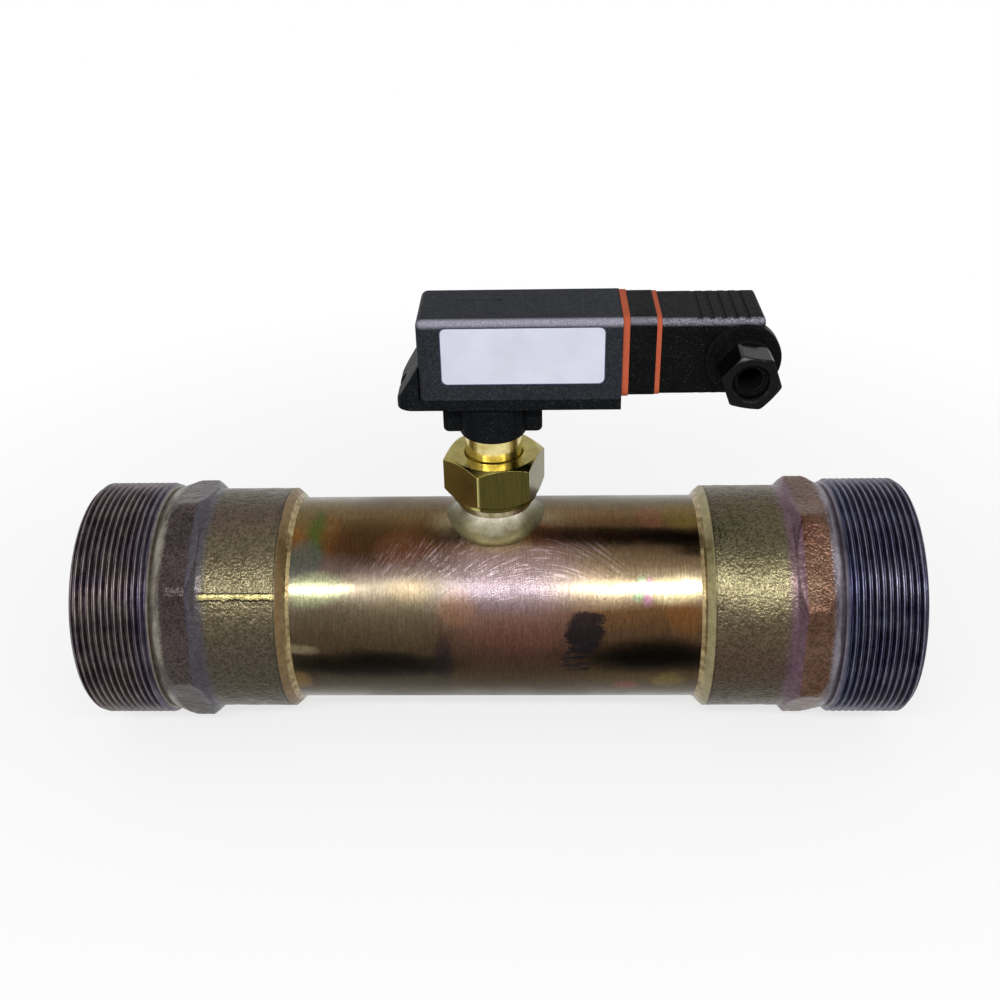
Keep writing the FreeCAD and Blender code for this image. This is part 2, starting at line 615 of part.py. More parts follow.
def blade_rivets():
    """Two rivets through blade and lever, one solid each."""
    rivets = []
    front = "-arm_thickness / 2 - blade_thickness"
    for place in ("rivet_upper", "rivet_lower"):
        body = turned_part("rivet", [
            (f"{front} - rivet_head_height", "0"),
            (f"{front} - rivet_head_height", "rivet_head / 2 * 0.6"),
            (front, "rivet_head / 2"),
            (front, "rivet_diameter / 2"),
            ("arm_thickness / 2", "rivet_diameter / 2"),
            ("arm_thickness / 2", "rivet_head / 2"),
            ("arm_thickness / 2 + rivet_head_height", "rivet_head / 2 * 0.6"),
            ("arm_thickness / 2 + rivet_head_height", "0"),
        ], axis="H_Axis", x="switch_x", z=place)
        rivets.append(body)
    group("blade_rivets", rivets)


def group(label, bodies):
    """Identical pieces in one node, as separate solids."""
    compound = doc.addObject("Part::Compound", label)
    compound.Label = label
    compound.Links = bodies
    doc.recompute()


def lever_magnet():
    body = new_body("lever_magnet", **HEAD)
    sketch = sketch_on(body, "XY_Plane", "magnet_top - cup_magnet_length")
    circle(sketch, "cup_magnet_diameter / 2")
    pad(body, sketch, "cup_magnet_length")


def reset_magnet():
    body = new_body("reset_magnet", **HEAD)
    sketch = sketch_on(body, "XY_Plane", "reset_seat")
    circle(sketch, "reset_magnet_diameter / 2")
    pad(body, sketch, "reset_magnet_length")


# ---------------------------------------------------------------- head housing

def post_places():
    return [(x, y) for x in ("post_left", "post_right") for y in ("-(post_y)", "post_y")]


def on_slope(edge):
    """True for an edge that bounds the dome's sloping top."""
    rise = value("(dome_top - dome_shoulder) / (housing_left - dome_left)")
    places = [vertex.Point for vertex in edge.Vertexes] + [edge.CenterOfMass]
    if edge.Curve.TypeId != "Part::GeomLine":
        places = places[:-1]
    foot = FreeCAD.Vector(value("dome_left"), 0, value("dome_shoulder"))
    return all(abs(p.z - foot.z - (p.x - foot.x) * rise) < 1e-4 for p in places)


def housing_base():
    """Tray with the neck for the sleeve below it and the adjusting dome on its left end."""
    body = new_body("housing_base", **HEAD)
    half = "housing_width / 2"
    dome = sketch_on(body, "XY_Plane", "housing_bottom")
    rectangle(dome, "dome_left", "housing_left", f"-{half}", half)
    pad(body, dome, "dome_top - housing_bottom")
    round_edges(body, "dome_corner",
                lambda edge: runs_along(edge, "z") and lies_at(edge, "x", "dome_left"))
    slope = sketch_on(body, "XZ_Plane")
    polygon(slope, [
        ("dome_left - 1", "dome_shoulder - (dome_top - dome_shoulder) / (housing_left - dome_left)"),
        ("housing_left", "dome_top"),
        ("housing_left", "dome_top + 1"),
        ("dome_left - 1", "dome_top + 1"),
    ])
    pocket(body, slope, "housing_width * 2", both_ways=True)
    round_edges(body, "dome_edge",
                lambda edge: on_slope(edge) and not lies_at(edge, "x", "housing_left"))
    tray = sketch_on(body, "XY_Plane", "housing_bottom")
    rectangle(tray, "housing_left", "housing_right", f"-{half}", half)
    pad(body, tray, "parting_z - housing_bottom")
    inside = sketch_on(body, "XY_Plane", "floor_top")
    rectangle(inside, "housing_left + housing_wall", "housing_right - housing_wall",
              f"-{half} + housing_wall", f"{half} - housing_wall")
    pocket(body, inside, "parting_z - floor_top + 1")
    clip_room = sketch_on(body, "XY_Plane", "floor_top")
    rectangle(clip_room, "housing_left", "housing_left + housing_wall + 1",
              "-notch_width / 2", "notch_width / 2")
    pocket(body, clip_room, "parting_z - floor_top")
    neck = sketch_on(body, "XY_Plane", "neck_bottom")
    circle(neck, "neck_diameter / 2")
    pad(body, neck, "housing_bottom - neck_bottom")
    round_edges(body, "neck_edge", lambda edge: lies_at(edge, "z", "neck_bottom"))
    ears = sketch_on(body, "XZ_Plane")
    rectangle(ears, "-ear_span / 2", "ear_span / 2", "ear_bottom", "housing_bottom")
    pad(body, ears, "ear_thickness", both_ways=True)
    round_edges(body, "ear_radius",
                lambda edge: runs_along(edge, "y") and lies_at(edge, "z", "ear_bottom"))
    ring = sketch_on(body, "XY_Plane", "floor_top")
    circle(ring, "hub_ring_diameter / 2")
    pad(body, ring, "hub_ring_top - floor_top")
    rails = sketch_on(body, "XY_Plane", "floor_top")
    for side in ("", "-"):
        near, far = f"{side}(rail_outside - rail_thickness)", f"{side}(rail_outside)"
        rectangle(rails, "leg_left", "leg_left + leg_length", near, far)
    pad(body, rails, "rail_top - floor_top")
    bore = sketch_on(body, "XY_Plane", "neck_bottom - 1")
    circle(bore, "sleeve_diameter / 2 + sleeve_fit")
    pocket(body, bore, "hub_floor - neck_bottom + 1")
    seat = sketch_on(body, "XY_Plane", "reset_seat")
    circle(seat, "reset_magnet_diameter / 2 + magnet_fit")
    pocket(body, seat, "reset_magnet_length + 1")
    shank = sketch_on(body, "YZ_Plane", "dome_left - 1")
    circle(shank, "setscrew_diameter / 2 + setscrew_play", y="screw_z")
    pocket(body, shank, "housing_left - dome_left + 1.5")
    head = sketch_on(body, "YZ_Plane", "dome_left - 1")
    circle(head, "setscrew_head_diameter / 2 + setscrew_play", y="screw_z")
    pocket(body, head, "setscrew_seat - dome_left + 1")
    holes = sketch_on(body, "XY_Plane", "housing_bottom - 1")
    for x, y in post_places():
        circle(holes, "cover_screw_diameter / 2 + screw_hole_play", x=x, y=y)
    pocket(body, holes, "floor_thickness + 2")
    recesses = sketch_on(body, "XY_Plane", "housing_bottom - 1")
    for x, y in post_places():
        circle(recesses, "cover_screw_head / 2 + head_recess_play", x=x, y=y)
    pocket(body, recesses, "head_recess_depth + 1")


def housing_cover():
    body = new_body("housing_cover", **HEAD)
    half = "housing_width / 2"
    foot = "parting_z + cover_gap"
    shell = sketch_on(body, "XY_Plane", foot)
    rectangle(shell, "housing_left + cover_gap", "housing_right", f"-{half}", half)
    pad(body, shell, f"housing_top - ({foot})")
    round_edges(body, "housing_corner", lambda edge: runs_along(edge, "z")
                and lies_at(edge, "x", "housing_left + cover_gap"))
    round_edges(body, "housing_edge", lambda edge: lies_at(edge, "z", "housing_top")
                and not lies_at(edge, "x", "housing_right"))
    inside = sketch_on(body, "XY_Plane", f"{foot} - 1")
    rectangle(inside, "housing_left + housing_wall", "housing_right - housing_wall",
              f"-{half} + housing_wall", f"{half} - housing_wall")
    pocket(body, inside, f"housing_top - housing_wall - ({foot}) + 1")
    posts = sketch_on(body, "XY_Plane", "floor_top + post_gap")
    for x, y in post_places():
        circle(posts, "post_diameter / 2", x=x, y=y)
    pad(body, posts, "housing_top - housing_wall - floor_top - post_gap")
    pilots = sketch_on(body, "XY_Plane", "floor_top")
    for x, y in post_places():
        circle(pilots, "cover_screw_diameter / 2", x=x, y=y)
    pocket(body, pilots, "cover_screw_length")
    notch = sketch_on(body, "YZ_Plane", "housing_left - 1")
    rectangle(notch, "-notch_width / 2", "notch_width / 2", "parting_z - 1",
              "screw_z + notch_width / 2")
    pocket(body, notch, "housing_wall + 1.5")
    window = sketch_on(body, "YZ_Plane", "housing_right - housing_wall - 0.5")
    reach = "(spigot_size / 2 + spigot_play)"
    rectangle(window, f"-{reach}", reach, f"connector_z - {reach}", f"connector_z + {reach}")
    pocket(body, window, "housing_wall + 1")
    holes = sketch_on(body, "YZ_Plane", "housing_right - housing_wall - 0.5")
    for y, z in connector_screw_places():
        circle(holes, "connector_screw_diameter / 2", x=y, y=f"connector_z + {z}")
    pocket(body, holes, "housing_wall + 1")
    arrow = sketch_on(body, "XY_Plane", "housing_top - arrow_depth")
    rectangle(arrow, "arrow_left", "arrow_left + arrow_length",
              "arrow_y - arrow_line / 2", "arrow_y + arrow_line / 2")
    polygon(arrow, [
        ("arrow_head_left", "arrow_y - arrow_head_width / 2"),
        ("arrow_head_left + arrow_head_length", "arrow_y"),
        ("arrow_head_left", "arrow_y + arrow_head_width / 2"),
    ])
    pocket(body, arrow, "arrow_depth + 1")


def cover_screws():
    screws = []
    under = "housing_bottom + head_recess_depth"
    for x, y in post_places():
        body = turned_part("cover_screw", [
            ("0", f"{under} - cover_screw_head_height"),
            ("cover_screw_head / 2 - 0.3", f"{under} - cover_screw_head_height"),
            ("cover_screw_head / 2", f"{under} - cover_screw_head_height + 0.3"),
            ("cover_screw_head / 2", under),
            ("cover_screw_diameter / 2", under),
            ("cover_screw_diameter / 2", "floor_top + cover_screw_length - 1.5"),
            ("0", "floor_top + cover_screw_length - 0.5"),
        ], x=f"switch_x + {x}", y=y)
        screws.append(body)
    group("cover_screws", screws)


def rating_label():
    """Bare plate glued on the cover's front."""
    body = new_body("rating_label", x="switch_x", y="-housing_width / 2")
    sketch = sketch_on(body, "XZ_Plane")
    rectangle(sketch, "housing_left + label_inset_left", "housing_right - label_inset_right",
              "label_top - label_height", "label_top")
    pad(body, sketch, "label_thickness")
    round_edges(body, "label_corner", lambda edge: runs_along(edge, "y"))


def setpoint_screw():
    head = "setscrew_seat - setscrew_head_length"
    body = turned_part("setpoint_screw", [
        (head, "0"),
        (head, "setscrew_head_diameter / 2"),
        ("setscrew_seat", "setscrew_head_diameter / 2"),
        ("setscrew_seat", "setscrew_diameter / 2"),
        ("setscrew_end - 0.5", "setscrew_diameter / 2"),
        ("setscrew_end", "setscrew_diameter / 2 - 0.5"),
        ("setscrew_end", "0"),
    ], axis="H_Axis", x="switch_x", z="screw_z")
    slot = sketch_on(body, "YZ_Plane", f"{head} - 1")
    rectangle(slot, "-slot_width / 2", "slot_width / 2",
              "-setscrew_head_diameter", "setscrew_head_diameter")
    pocket(body, slot, "slot_depth + 1")


def screw_clip():
    """Ring that keeps the adjusting screw in the dome."""
    turned_part("screw_clip", [
        ("housing_left + clip_gap", "setscrew_diameter / 2"),
        ("housing_left + clip_gap", "clip_diameter / 2"),
        ("housing_left + clip_gap + clip_thickness", "clip_diameter / 2"),
        ("housing_left + clip_gap + clip_thickness", "setscrew_diameter / 2"),
    ], axis="H_Axis", x="switch_x", z="screw_z")


def reed_carriage():
    """Slide that the adjusting screw shifts; the reed lies in a groove across its deck."""
    body = new_body("reed_carriage", **HEAD)
    side = sketch_on(body, "XZ_Plane")
    rectangle(side, "leg_left", "leg_left + leg_length", "leg_bottom", "deck_bottom + 0.5")
    pad(body, side, "leg_width", both_ways=True)
    deck = sketch_on(body, "XZ_Plane")
    rectangle(deck, "leg_left", "deck_right", "deck_bottom", "deck_top")
    pad(body, deck, "deck_width", both_ways=True)
    thread = sketch_on(body, "YZ_Plane", "leg_left - 1")
    circle(thread, "setscrew_diameter / 2 + setscrew_play", y="screw_z")
    pocket(body, thread, "leg_length + 2")
    trough = sketch_on(body, "XZ_Plane")
    circle(trough, "reed_diameter / 2 + reed_play", x="reed_x", y="reed_z")
    pocket(body, trough, "deck_width * 2", both_ways=True)


def reed_switch():
    """Glass capsule with its two leads, turned in one outline."""
    half = "reed_length / 2"
    wire = "reed_lead_diameter / 2"
    glass = "reed_diameter / 2"
    turned_part("reed_switch", [
        (f"-{half} - reed_lead_length", "0"),
        (f"-{half} - reed_lead_length", wire),
        (f"-{half}", wire),
        (f"-{half} + 1", glass),
        (f"{half} - 1", glass),
        (half, wire),
        (f"{half} + reed_lead_length", wire),
        (f"{half} + reed_lead_length", "0"),
    ], plane="YZ_Plane", axis="H_Axis",
        x="switch_x + reed_x", z="reed_z")


# ---------------------------------------------------------------- connector

def connector_screw_places():
    half = "connector_screw_pitch / 2"
    return [(f"{a}{half}", f"({b}{half})") for a in ("-", "") for b in ("-", "")]


def square_plate(label, size, x, length, corner, window=None):
    """Square plate across X with rounded corners, with an optional square window."""
    body = new_body(label, x=f"switch_x + {x}", z="connector_z")
    sketch = sketch_on(body, "YZ_Plane")
    rectangle(sketch, f"-{size} / 2", f"{size} / 2", f"-{size} / 2", f"{size} / 2")
    pad(body, sketch, length)
    round_edges(body, corner, lambda edge: runs_along(edge, "x"))
    if window:
        opening = sketch_on(body, "YZ_Plane")
        rectangle(opening, f"-{window} / 2", f"{window} / 2", f"-{window} / 2", f"{window} / 2")
        pocket(body, opening, length)
    return body


def base_gasket():
    body = square_plate("base_gasket", "base_gasket_size", "housing_right", "base_gasket_thickness",
                        "connector_corner", "(spigot_size + 2 * spigot_play)")
    holes = sketch_on(body, "YZ_Plane")
    for y, z in connector_screw_places():
        circle(holes, "connector_screw_diameter / 2 + screw_hole_play", x=y, y=z)
    pocket(body, holes, "base_gasket_thickness")


def plug_gasket():
    square_plate("plug_gasket", "plug_gasket_size", "plug_gasket_x", "plug_gasket_thickness",
                 "connector_corner", "plug_gasket_window")


def pin_places():
    """Three flat contacts and the earth contact, as (y, z, turned)."""
    return [("pin_offset", "0", True), ("-pin_offset", "0", True), ("0", "pin_offset", False),
            ("0", "-pin_offset", False)]


def pin_outline(sketch, y, z, turned, play):
    wide, thin = f"(pin_width / 2 + {play})", f"(pin_thickness / 2 + {play})"
    across, up = (thin, wide) if turned else (wide, thin)
    rectangle(sketch, f"{y} - {across}", f"{y} + {across}", f"{z} - {up}", f"{z} + {up}")


def connector_base():
    body = square_plate("connector_base", "connector_size", "connector_x", "connector_length",
                        "connector_corner")
    spigot = sketch_on(body, "YZ_Plane")
    rectangle(spigot, "-spigot_size / 2", "spigot_size / 2", "-spigot_size / 2", "spigot_size / 2")
    pad(body, spigot, "base_gasket_thickness + spigot_depth", backwards=True)
    slots = sketch_on(body, "YZ_Plane", "-base_gasket_thickness - spigot_depth - 1")
    for y, z, turned in pin_places():
        pin_outline(slots, y, z, turned, "0")
    pocket(body, slots, "base_gasket_thickness + spigot_depth + connector_length + 2")
    seat = sketch_on(body, "YZ_Plane", "connector_length - insert_length")
    circle(seat, "insert_diameter / 2")
    pocket(body, seat, "insert_length + 1")
    holes = sketch_on(body, "YZ_Plane", "-1")
    for y, z in connector_screw_places():
        circle(holes, "connector_screw_diameter / 2 + screw_hole_play", x=y, y=z)
    pocket(body, holes, "connector_length + 2")
    recesses = sketch_on(body, "YZ_Plane", "connector_screw_seat")
    for y, z in connector_screw_places():
        circle(recesses, "connector_screw_head / 2 + head_recess_play", x=y, y=z)
    pocket(body, recesses, "connector_screw_head_height + 1")


def connector_insert():
    """Brass nut moulded in the base for the plug's screw."""
    start = "connector_length - insert_length"
    turned_part("connector_insert", [
        (start, "plug_screw_diameter / 2 + plug_screw_play"),
        (start, "insert_diameter / 2"),
        ("connector_length", "insert_diameter / 2"),
        ("connector_length", "plug_screw_diameter / 2 + plug_screw_play"),
    ], axis="H_Axis", x="switch_x + connector_x", z="connector_z")


def connector_screws():
    screws = []
    seat = "connector_screw_seat"
    tip = "screw_tip_gap - base_gasket_thickness - housing_wall"
    for y, z in connector_screw_places():
        body = turned_part("connector_screw", [
            (tip, "0"),
            (f"{tip} + 1", "connector_screw_diameter / 2"),
            (seat, "connector_screw_diameter / 2"),
            (seat, "connector_screw_head / 2"),
            (f"{seat} + connector_screw_head_height - 0.4", "connector_screw_head / 2"),
            (f"{seat} + connector_screw_head_height", "connector_screw_head / 2 - 0.4"),
            (f"{seat} + connector_screw_head_height", "0"),
        ], axis="H_Axis", x="switch_x + connector_x", y=y, z=f"connector_z + {z}")
        screws.append(body)
    group("connector_screws", screws)


def contact_pins():
    pins = []
    tail = "base_gasket_thickness + spigot_depth + pin_tail"
    for y, z, turned in pin_places():
        body = new_body("contact_pin", x="switch_x + connector_x", z="connector_z")
        sketch = sketch_on(body, "YZ_Plane", f"-({tail})")
        pin_outline(sketch, y, z, turned, "0")
        pad(body, sketch, f"{tail} + connector_length + pin_reach")
        pins.append(body)
    group("contact_pins", pins)


# ---------------------------------------------------------------- plug and gland

def plug_housing():
    """Plug shell: open towards the connector, grip grooves above and below, gland on its front."""
    body = new_body("plug_housing", x="switch_x + plug_x", z="connector_z")
    shell = sketch_on(body, "YZ_Plane")
    rectangle(shell, "-plug_width / 2", "plug_width / 2", "-plug_height / 2", "plug_height / 2")
    pad(body, shell, "plug_length")
    round_edges(body, "plug_corner", lambda edge: runs_along(edge, "x"))
    round_edges(body, "plug_edge", lambda edge: lies_at(edge, "x", "plug_length"))
    grip = sketch_on(body, "XZ_Plane")
    for low, high in (("plug_height / 2 - groove_depth", "plug_height / 2 + 1"),
                      ("-plug_height / 2 - 1", "-plug_height / 2 + groove_depth")):
        rectangle(grip, "groove_first", "groove_first + groove_width", low, high)
    first = pocket(body, grip, "plug_width * 2", both_ways=True)
    pattern = body.newObject("PartDesign::LinearPattern", "grip_grooves")
    pattern.Originals = [first]
    pattern.Direction = (grip, ["H_Axis"])
    pattern.setExpression("Length", link("groove_pitch * (groove_count - 1)"))
    pattern.setExpression("Occurrences", link("groove_count"))
    settle(body, pattern)
    x = "gland_x - plug_x"
    face = "plug_width / 2"
    for radius, end in (("gland_boss_diameter / 2", "gland_boss_end"),
                        ("gland_collar_diameter / 2", "gland_collar_end"),
                        ("gland_thread / 2", "gland_tube_end")):
        step = sketch_on(body, "XZ_Plane", f"{face} - plug_wall")
        circle(step, radius, x=x)
        pad(body, step, f"{end} - {face} + plug_wall")
    round_edges(body, "gland_boss_edge",
                lambda edge: lies_at(edge, "y", "-gland_boss_end")
                and edge.BoundBox.XLength > value("gland_collar_diameter + 1"))
    cavity = sketch_on(body, "YZ_Plane", "-1")
    rectangle(cavity, "-plug_width / 2 + plug_wall", "plug_width / 2 - plug_wall",
              "-plug_height / 2 + plug_wall", "plug_height / 2 - plug_wall")
    pocket(body, cavity, "plug_length - plug_end_wall + 1")
    passage = sketch_on(body, "XZ_Plane", "0")
    circle(passage, "gland_passage / 2", x=x)
    pocket(body, passage, "gland_tube_end + 1")
    seat = sketch_on(body, "XZ_Plane", "gland_seat_start")
    circle(seat, "gland_seat_diameter / 2", x=x)
    pocket(body, seat, "gland_seat_depth + 1")
    hole = sketch_on(body, "YZ_Plane", "plug_length - plug_end_wall - 1")
    circle(hole, "plug_screw_diameter / 2 + plug_hole_play")
    pocket(body, hole, "plug_end_wall + 2")
    recess = sketch_on(body, "YZ_Plane", "plug_length - plug_screw_recess")
    circle(recess, "plug_screw_head / 2 + plug_hole_play")
    pocket(body, recess, "plug_screw_recess + 1")


def plug_insert():
    """Terminal block inside the plug, with a slot for each contact."""
    body = new_body("plug_insert", x="switch_x + terminal_x", z="connector_z")
    block = sketch_on(body, "YZ_Plane")
    across = "plug_width / 2 - plug_wall - terminal_play"
    up = "plug_height / 2 - plug_wall - terminal_play"
    rectangle(block, f"-({across})", across, f"-({up})", up)
    circle(block, "plug_screw_diameter / 2 + plug_hole_play")
    pad(body, block, "terminal_length")
    slots = sketch_on(body, "YZ_Plane", "-1")
    for y, z, turned in pin_places():
        pin_outline(slots, y, z, turned, "pin_slot_play")
    pocket(body, slots, "pin_reach - plug_gasket_thickness - terminal_inset + 1.5")


def terminal_screws():
    screws = []
    for y, z, _ in pin_places():
        body = new_body("terminal_screw", x="switch_x + terminal_x + terminal_length",
                        y=y, z=f"connector_z + {z}")
        sketch = sketch_on(body, "YZ_Plane")
        circle(sketch, "terminal_screw_diameter / 2")
        pad(body, sketch, "terminal_screw_length")
        slot = sketch_on(body, "YZ_Plane", "terminal_screw_length - terminal_slot_depth")
        rectangle(slot, "-terminal_slot_width / 2", "terminal_slot_width / 2",
                  "-terminal_screw_diameter", "terminal_screw_diameter")
        pocket(body, slot, "1")
        screws.append(body)
    group("terminal_screws", screws)


def plug_screw():
    """Captive screw through the plug into the connector's insert."""
    shank = "plug_screw_diameter / 2"
    head = "plug_screw_head / 2"
    seat = "(head_seat_x - plug_x)"
    tip = "(plug_gasket_x - plug_screw_end - plug_x)"
    body = turned_part("plug_screw", [
        (tip, "0"),
        (tip, f"{shank} - 0.5"),
        (f"{tip} + 0.5", shank),
        (seat, shank),
        (seat, head),
        (f"{seat} + plug_screw_head_height - 0.4", head),
        (f"{seat} + plug_screw_head_height", f"{head} - 0.4"),
        (f"{seat} + plug_screw_head_height", "0"),
    ], axis="H_Axis", x="switch_x + plug_x", z="connector_z")
    slot = sketch_on(body, "YZ_Plane", f"{seat} + plug_screw_head_height - slot_depth")
    rectangle(slot, "-slot_width / 2", "slot_width / 2", "-plug_screw_head", "plug_screw_head")
    pocket(body, slot, "slot_depth + 1")


GLAND = {"x": "switch_x + gland_x", "z": "connector_z"}


def gland_nut():
    """Hexagon cap nut; it is drawn along its own -Y axis, which leaves the plug's front."""
    body = new_body("gland_nut", **GLAND)
    hexagon = sketch_on(body, "XZ_Plane", "gland_nut_start")
    regular(hexagon, 6, "gland_nut_flats", "gland_nut_turn")
    pad(body, hexagon, "gland_nut_end - gland_nut_start")
    turned = "gland_nut_corners / 2"
    outer = "gland_nut_flats"
    face = "gland_nut_flats / 2 - gland_nut_face_step"
    rim = sketch_on(body, "YZ_Plane")
    polygon(rim, [
        ("-gland_nut_start + 1", turned),
        (f"-gland_nut_end + ({turned} - ({face})) * tan(gland_nut_slope * 1 deg)", turned),
        ("-gland_nut_end", face),
        ("-gland_nut_end - 1", face),
        ("-gland_nut_end - 1", outer),
        ("-gland_nut_start + 1", outer),
    ])
    groove(body, rim, "H_Axis")
    thread = "gland_thread / 2 + gland_play"
    wall = "-gland_nut_inside"
    hole = "gland_nut_hole / 2"
    bore = sketch_on(body, "YZ_Plane")
    polygon(bore, [
        ("-gland_nut_start + 1", "0"),
        ("-gland_nut_start + 1", thread),
        (wall, thread),
        (wall, hole),
        ("-gland_nut_end + gland_nut_chamfer", hole),
        ("-gland_nut_end", f"{hole} + gland_nut_chamfer"),
        ("-gland_nut_end - 1", f"{hole} + gland_nut_chamfer"),
        ("-gland_nut_end - 1", "0"),
    ])
    groove(body, bore, "H_Axis")


def gland_washer():
    rim = "gland_thread / 2 - washer_side_gap"
    hole = "cable_hole / 2 + washer_hole_play"
    turned_part("gland_washer", [
        ("-washer_outer", hole),
        ("-washer_outer", rim),
        ("-washer_outer + washer_thickness", rim),
        ("-washer_outer + washer_thickness", hole),
    ], plane="YZ_Plane", axis="H_Axis", **GLAND)


def gland_seal():
    turned_part("gland_seal", [
        ("-gland_seat_start", "cable_hole / 2"),
        ("-gland_seat_start", "gland_seat_diameter / 2 - seal_play"),
        ("-gland_tube_end", "gland_seat_diameter / 2 - seal_play"),
        ("-gland_tube_end", "cable_hole / 2"),
    ], plane="YZ_Plane", axis="H_Axis", **GLAND)


fill_sheet()
measuring_tube()
adapter("inlet_adapter", "inlet_octagon_turn")
adapter("outlet_adapter", "outlet_octagon_turn", x="total_length", turned_round=True)
solder_fillet("inlet_solder", "mouth", "1")
solder_fillet("outlet_solder", "total_length - mouth", "-1")
branch_boss()
branch_braze()
union_nut()
union_gasket()
switch_sleeve()
pivot_pin()
paddle_lever()
paddle_blade()
blade_rivets()
lever_magnet()
reset_magnet()
housing_base()
housing_cover()
cover_screws()
rating_label()
setpoint_screw()
screw_clip()
reed_carriage()
reed_switch()
base_gasket()
connector_base()
connector_insert()
connector_screws()
contact_pins()
plug_gasket()
plug_housing()
plug_insert()
terminal_screws()
plug_screw()
gland_nut()
gland_washer()
gland_seal()
doc.recompute()

for item in doc.Objects:
    if {"Invalid", "Error"} & set(item.State):
        raise ValueError(f"{item.Label} failed: {item.State}")

grouped = {body.Name for item in doc.Objects if item.TypeId == "Part::Compound"
           for body in item.Links}
nodes = [item for item in doc.Objects
         if item.TypeId in ("PartDesign::Body", "Part::Compound") and item.Name not in grouped]
for node in nodes:
    if node.Shape.isNull() or not node.Shape.isValid() or not node.Shape.Solids:
        raise ValueError(f"{node.Label} has no valid shape")

os.makedirs("parts", exist_ok=True)
for node in nodes:
    node.Shape.exportStep(f"parts/{node.Label}.step")
    print(node.Label, len(node.Shape.Solids), round(node.Shape.Volume, 1))
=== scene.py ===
import math

import bpy
import numpy as np
from mathutils import Matrix, Vector, noise


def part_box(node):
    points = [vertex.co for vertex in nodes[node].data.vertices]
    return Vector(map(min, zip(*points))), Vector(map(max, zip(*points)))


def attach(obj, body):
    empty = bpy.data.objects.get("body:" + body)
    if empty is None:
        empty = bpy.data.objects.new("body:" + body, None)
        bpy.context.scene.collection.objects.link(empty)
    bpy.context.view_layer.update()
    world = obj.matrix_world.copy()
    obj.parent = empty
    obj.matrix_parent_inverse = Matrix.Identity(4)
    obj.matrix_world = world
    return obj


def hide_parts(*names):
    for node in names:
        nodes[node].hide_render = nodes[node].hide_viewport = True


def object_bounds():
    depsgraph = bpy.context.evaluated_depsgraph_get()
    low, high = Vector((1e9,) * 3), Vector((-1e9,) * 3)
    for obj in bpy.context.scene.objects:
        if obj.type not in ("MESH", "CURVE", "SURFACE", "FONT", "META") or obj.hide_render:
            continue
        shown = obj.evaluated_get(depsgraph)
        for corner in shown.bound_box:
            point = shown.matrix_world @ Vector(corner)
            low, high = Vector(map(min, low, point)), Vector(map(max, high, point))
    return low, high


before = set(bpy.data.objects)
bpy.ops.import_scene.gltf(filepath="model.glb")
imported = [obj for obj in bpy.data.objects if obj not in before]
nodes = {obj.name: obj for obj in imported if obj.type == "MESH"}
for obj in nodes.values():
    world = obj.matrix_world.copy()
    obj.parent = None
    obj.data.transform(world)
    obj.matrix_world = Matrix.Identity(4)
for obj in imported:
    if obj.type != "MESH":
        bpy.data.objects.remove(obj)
cad_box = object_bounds()
scene = bpy.context.scene
MM = 0.001

# ---------------------------------------------------------------- sizes, in mm
# Lengths run along the pipe from the inlet's end face. All others are radii, unless they say so.

LENGTH, BRANCH_X = 300, 150
TUBE = 38.05

# an adapter, from its end face inwards
THREAD_START, THREAD_TOP, THREAD_END = 42.24, 43.94, 26.5   # radius at the face, crest, length
PITCH, THREAD_DEPTH, FLANK, ROOT_HALF = 2.309, 1.48, 0.7695, 0.185   # of one turn, as lengths
RUN_OUT, RUN_OUT_END = 41.9, 28.2
RELIEF, RELIEF_END = 42.24, 29.6
FLATS, CORNER, OCTAGON_END = 42.25, 45.0, 44.5
FRONT_SLOPE, REAR_SLOPE = 4.9, 2.8     # lengths of the octagon's conical ends
CUP, CUP_START, CUP_END = 41.7, 42.5, 73.0
GROOVE_X, GROOVE_DEPTH = 72.4, 0.3
MOUTH, MOUTH_X = 39.6, 75.3
SOCKET, BORE, BORE_END = 38.1, 36.05, 42
CAST_FROM, CAST_TO, SKIN_DEPTH = 30.4, 72.0, 0.12   # the cast skin's length and mean depth
SEAM = 35.0                            # degrees up the front, where the inlet casting's seam is

# the braze round the foot of the branch
SADDLE_TOP, SADDLE_HEIGHT = 13.3, 42.9     # its inner radius, and how high it is drawn up there
SADDLE_ALONG, SADDLE_ACROSS = 18.8, 18.2   # its foot's reach

# ---------------------------------------------------------------- camera, lights, surroundings

CAMERA_AIM, CAMERA_AWAY, LENS = Vector((0.151731, 0, 0.042505)), 0.429562, 42.308
CENTRE = Vector((0.15, 0, 0.03))
WORLD_LIGHT = 0.42


def stand_camera():
    """The camera looks down on the front from a little to the right."""
    azimuth, elevation, roll = (math.radians(v) for v in (2.198, 30.98, 1.485))
    back = Vector((math.sin(azimuth) * math.cos(elevation),
                   -math.cos(azimuth) * math.cos(elevation), math.sin(elevation)))
    right = Vector((math.cos(azimuth), math.sin(azimuth), 0))
    up = back.cross(right)
    across = right * math.cos(roll) - up * math.sin(roll)
    upward = up * math.cos(roll) + right * math.sin(roll)
    place = CAMERA_AIM + back * CAMERA_AWAY
    data = bpy.data.cameras.new("camera")
    data.sensor_width, data.lens = 36, LENS
    data.clip_start, data.clip_end = 0.01, 50
    camera = bpy.data.objects.new("camera", data)
    camera.matrix_world = Matrix.Translation(place) @ Matrix(
        (across, upward, back)).transposed().to_4x4()
    scene.collection.objects.link(camera)
    scene.camera = camera
    return place, upward, back


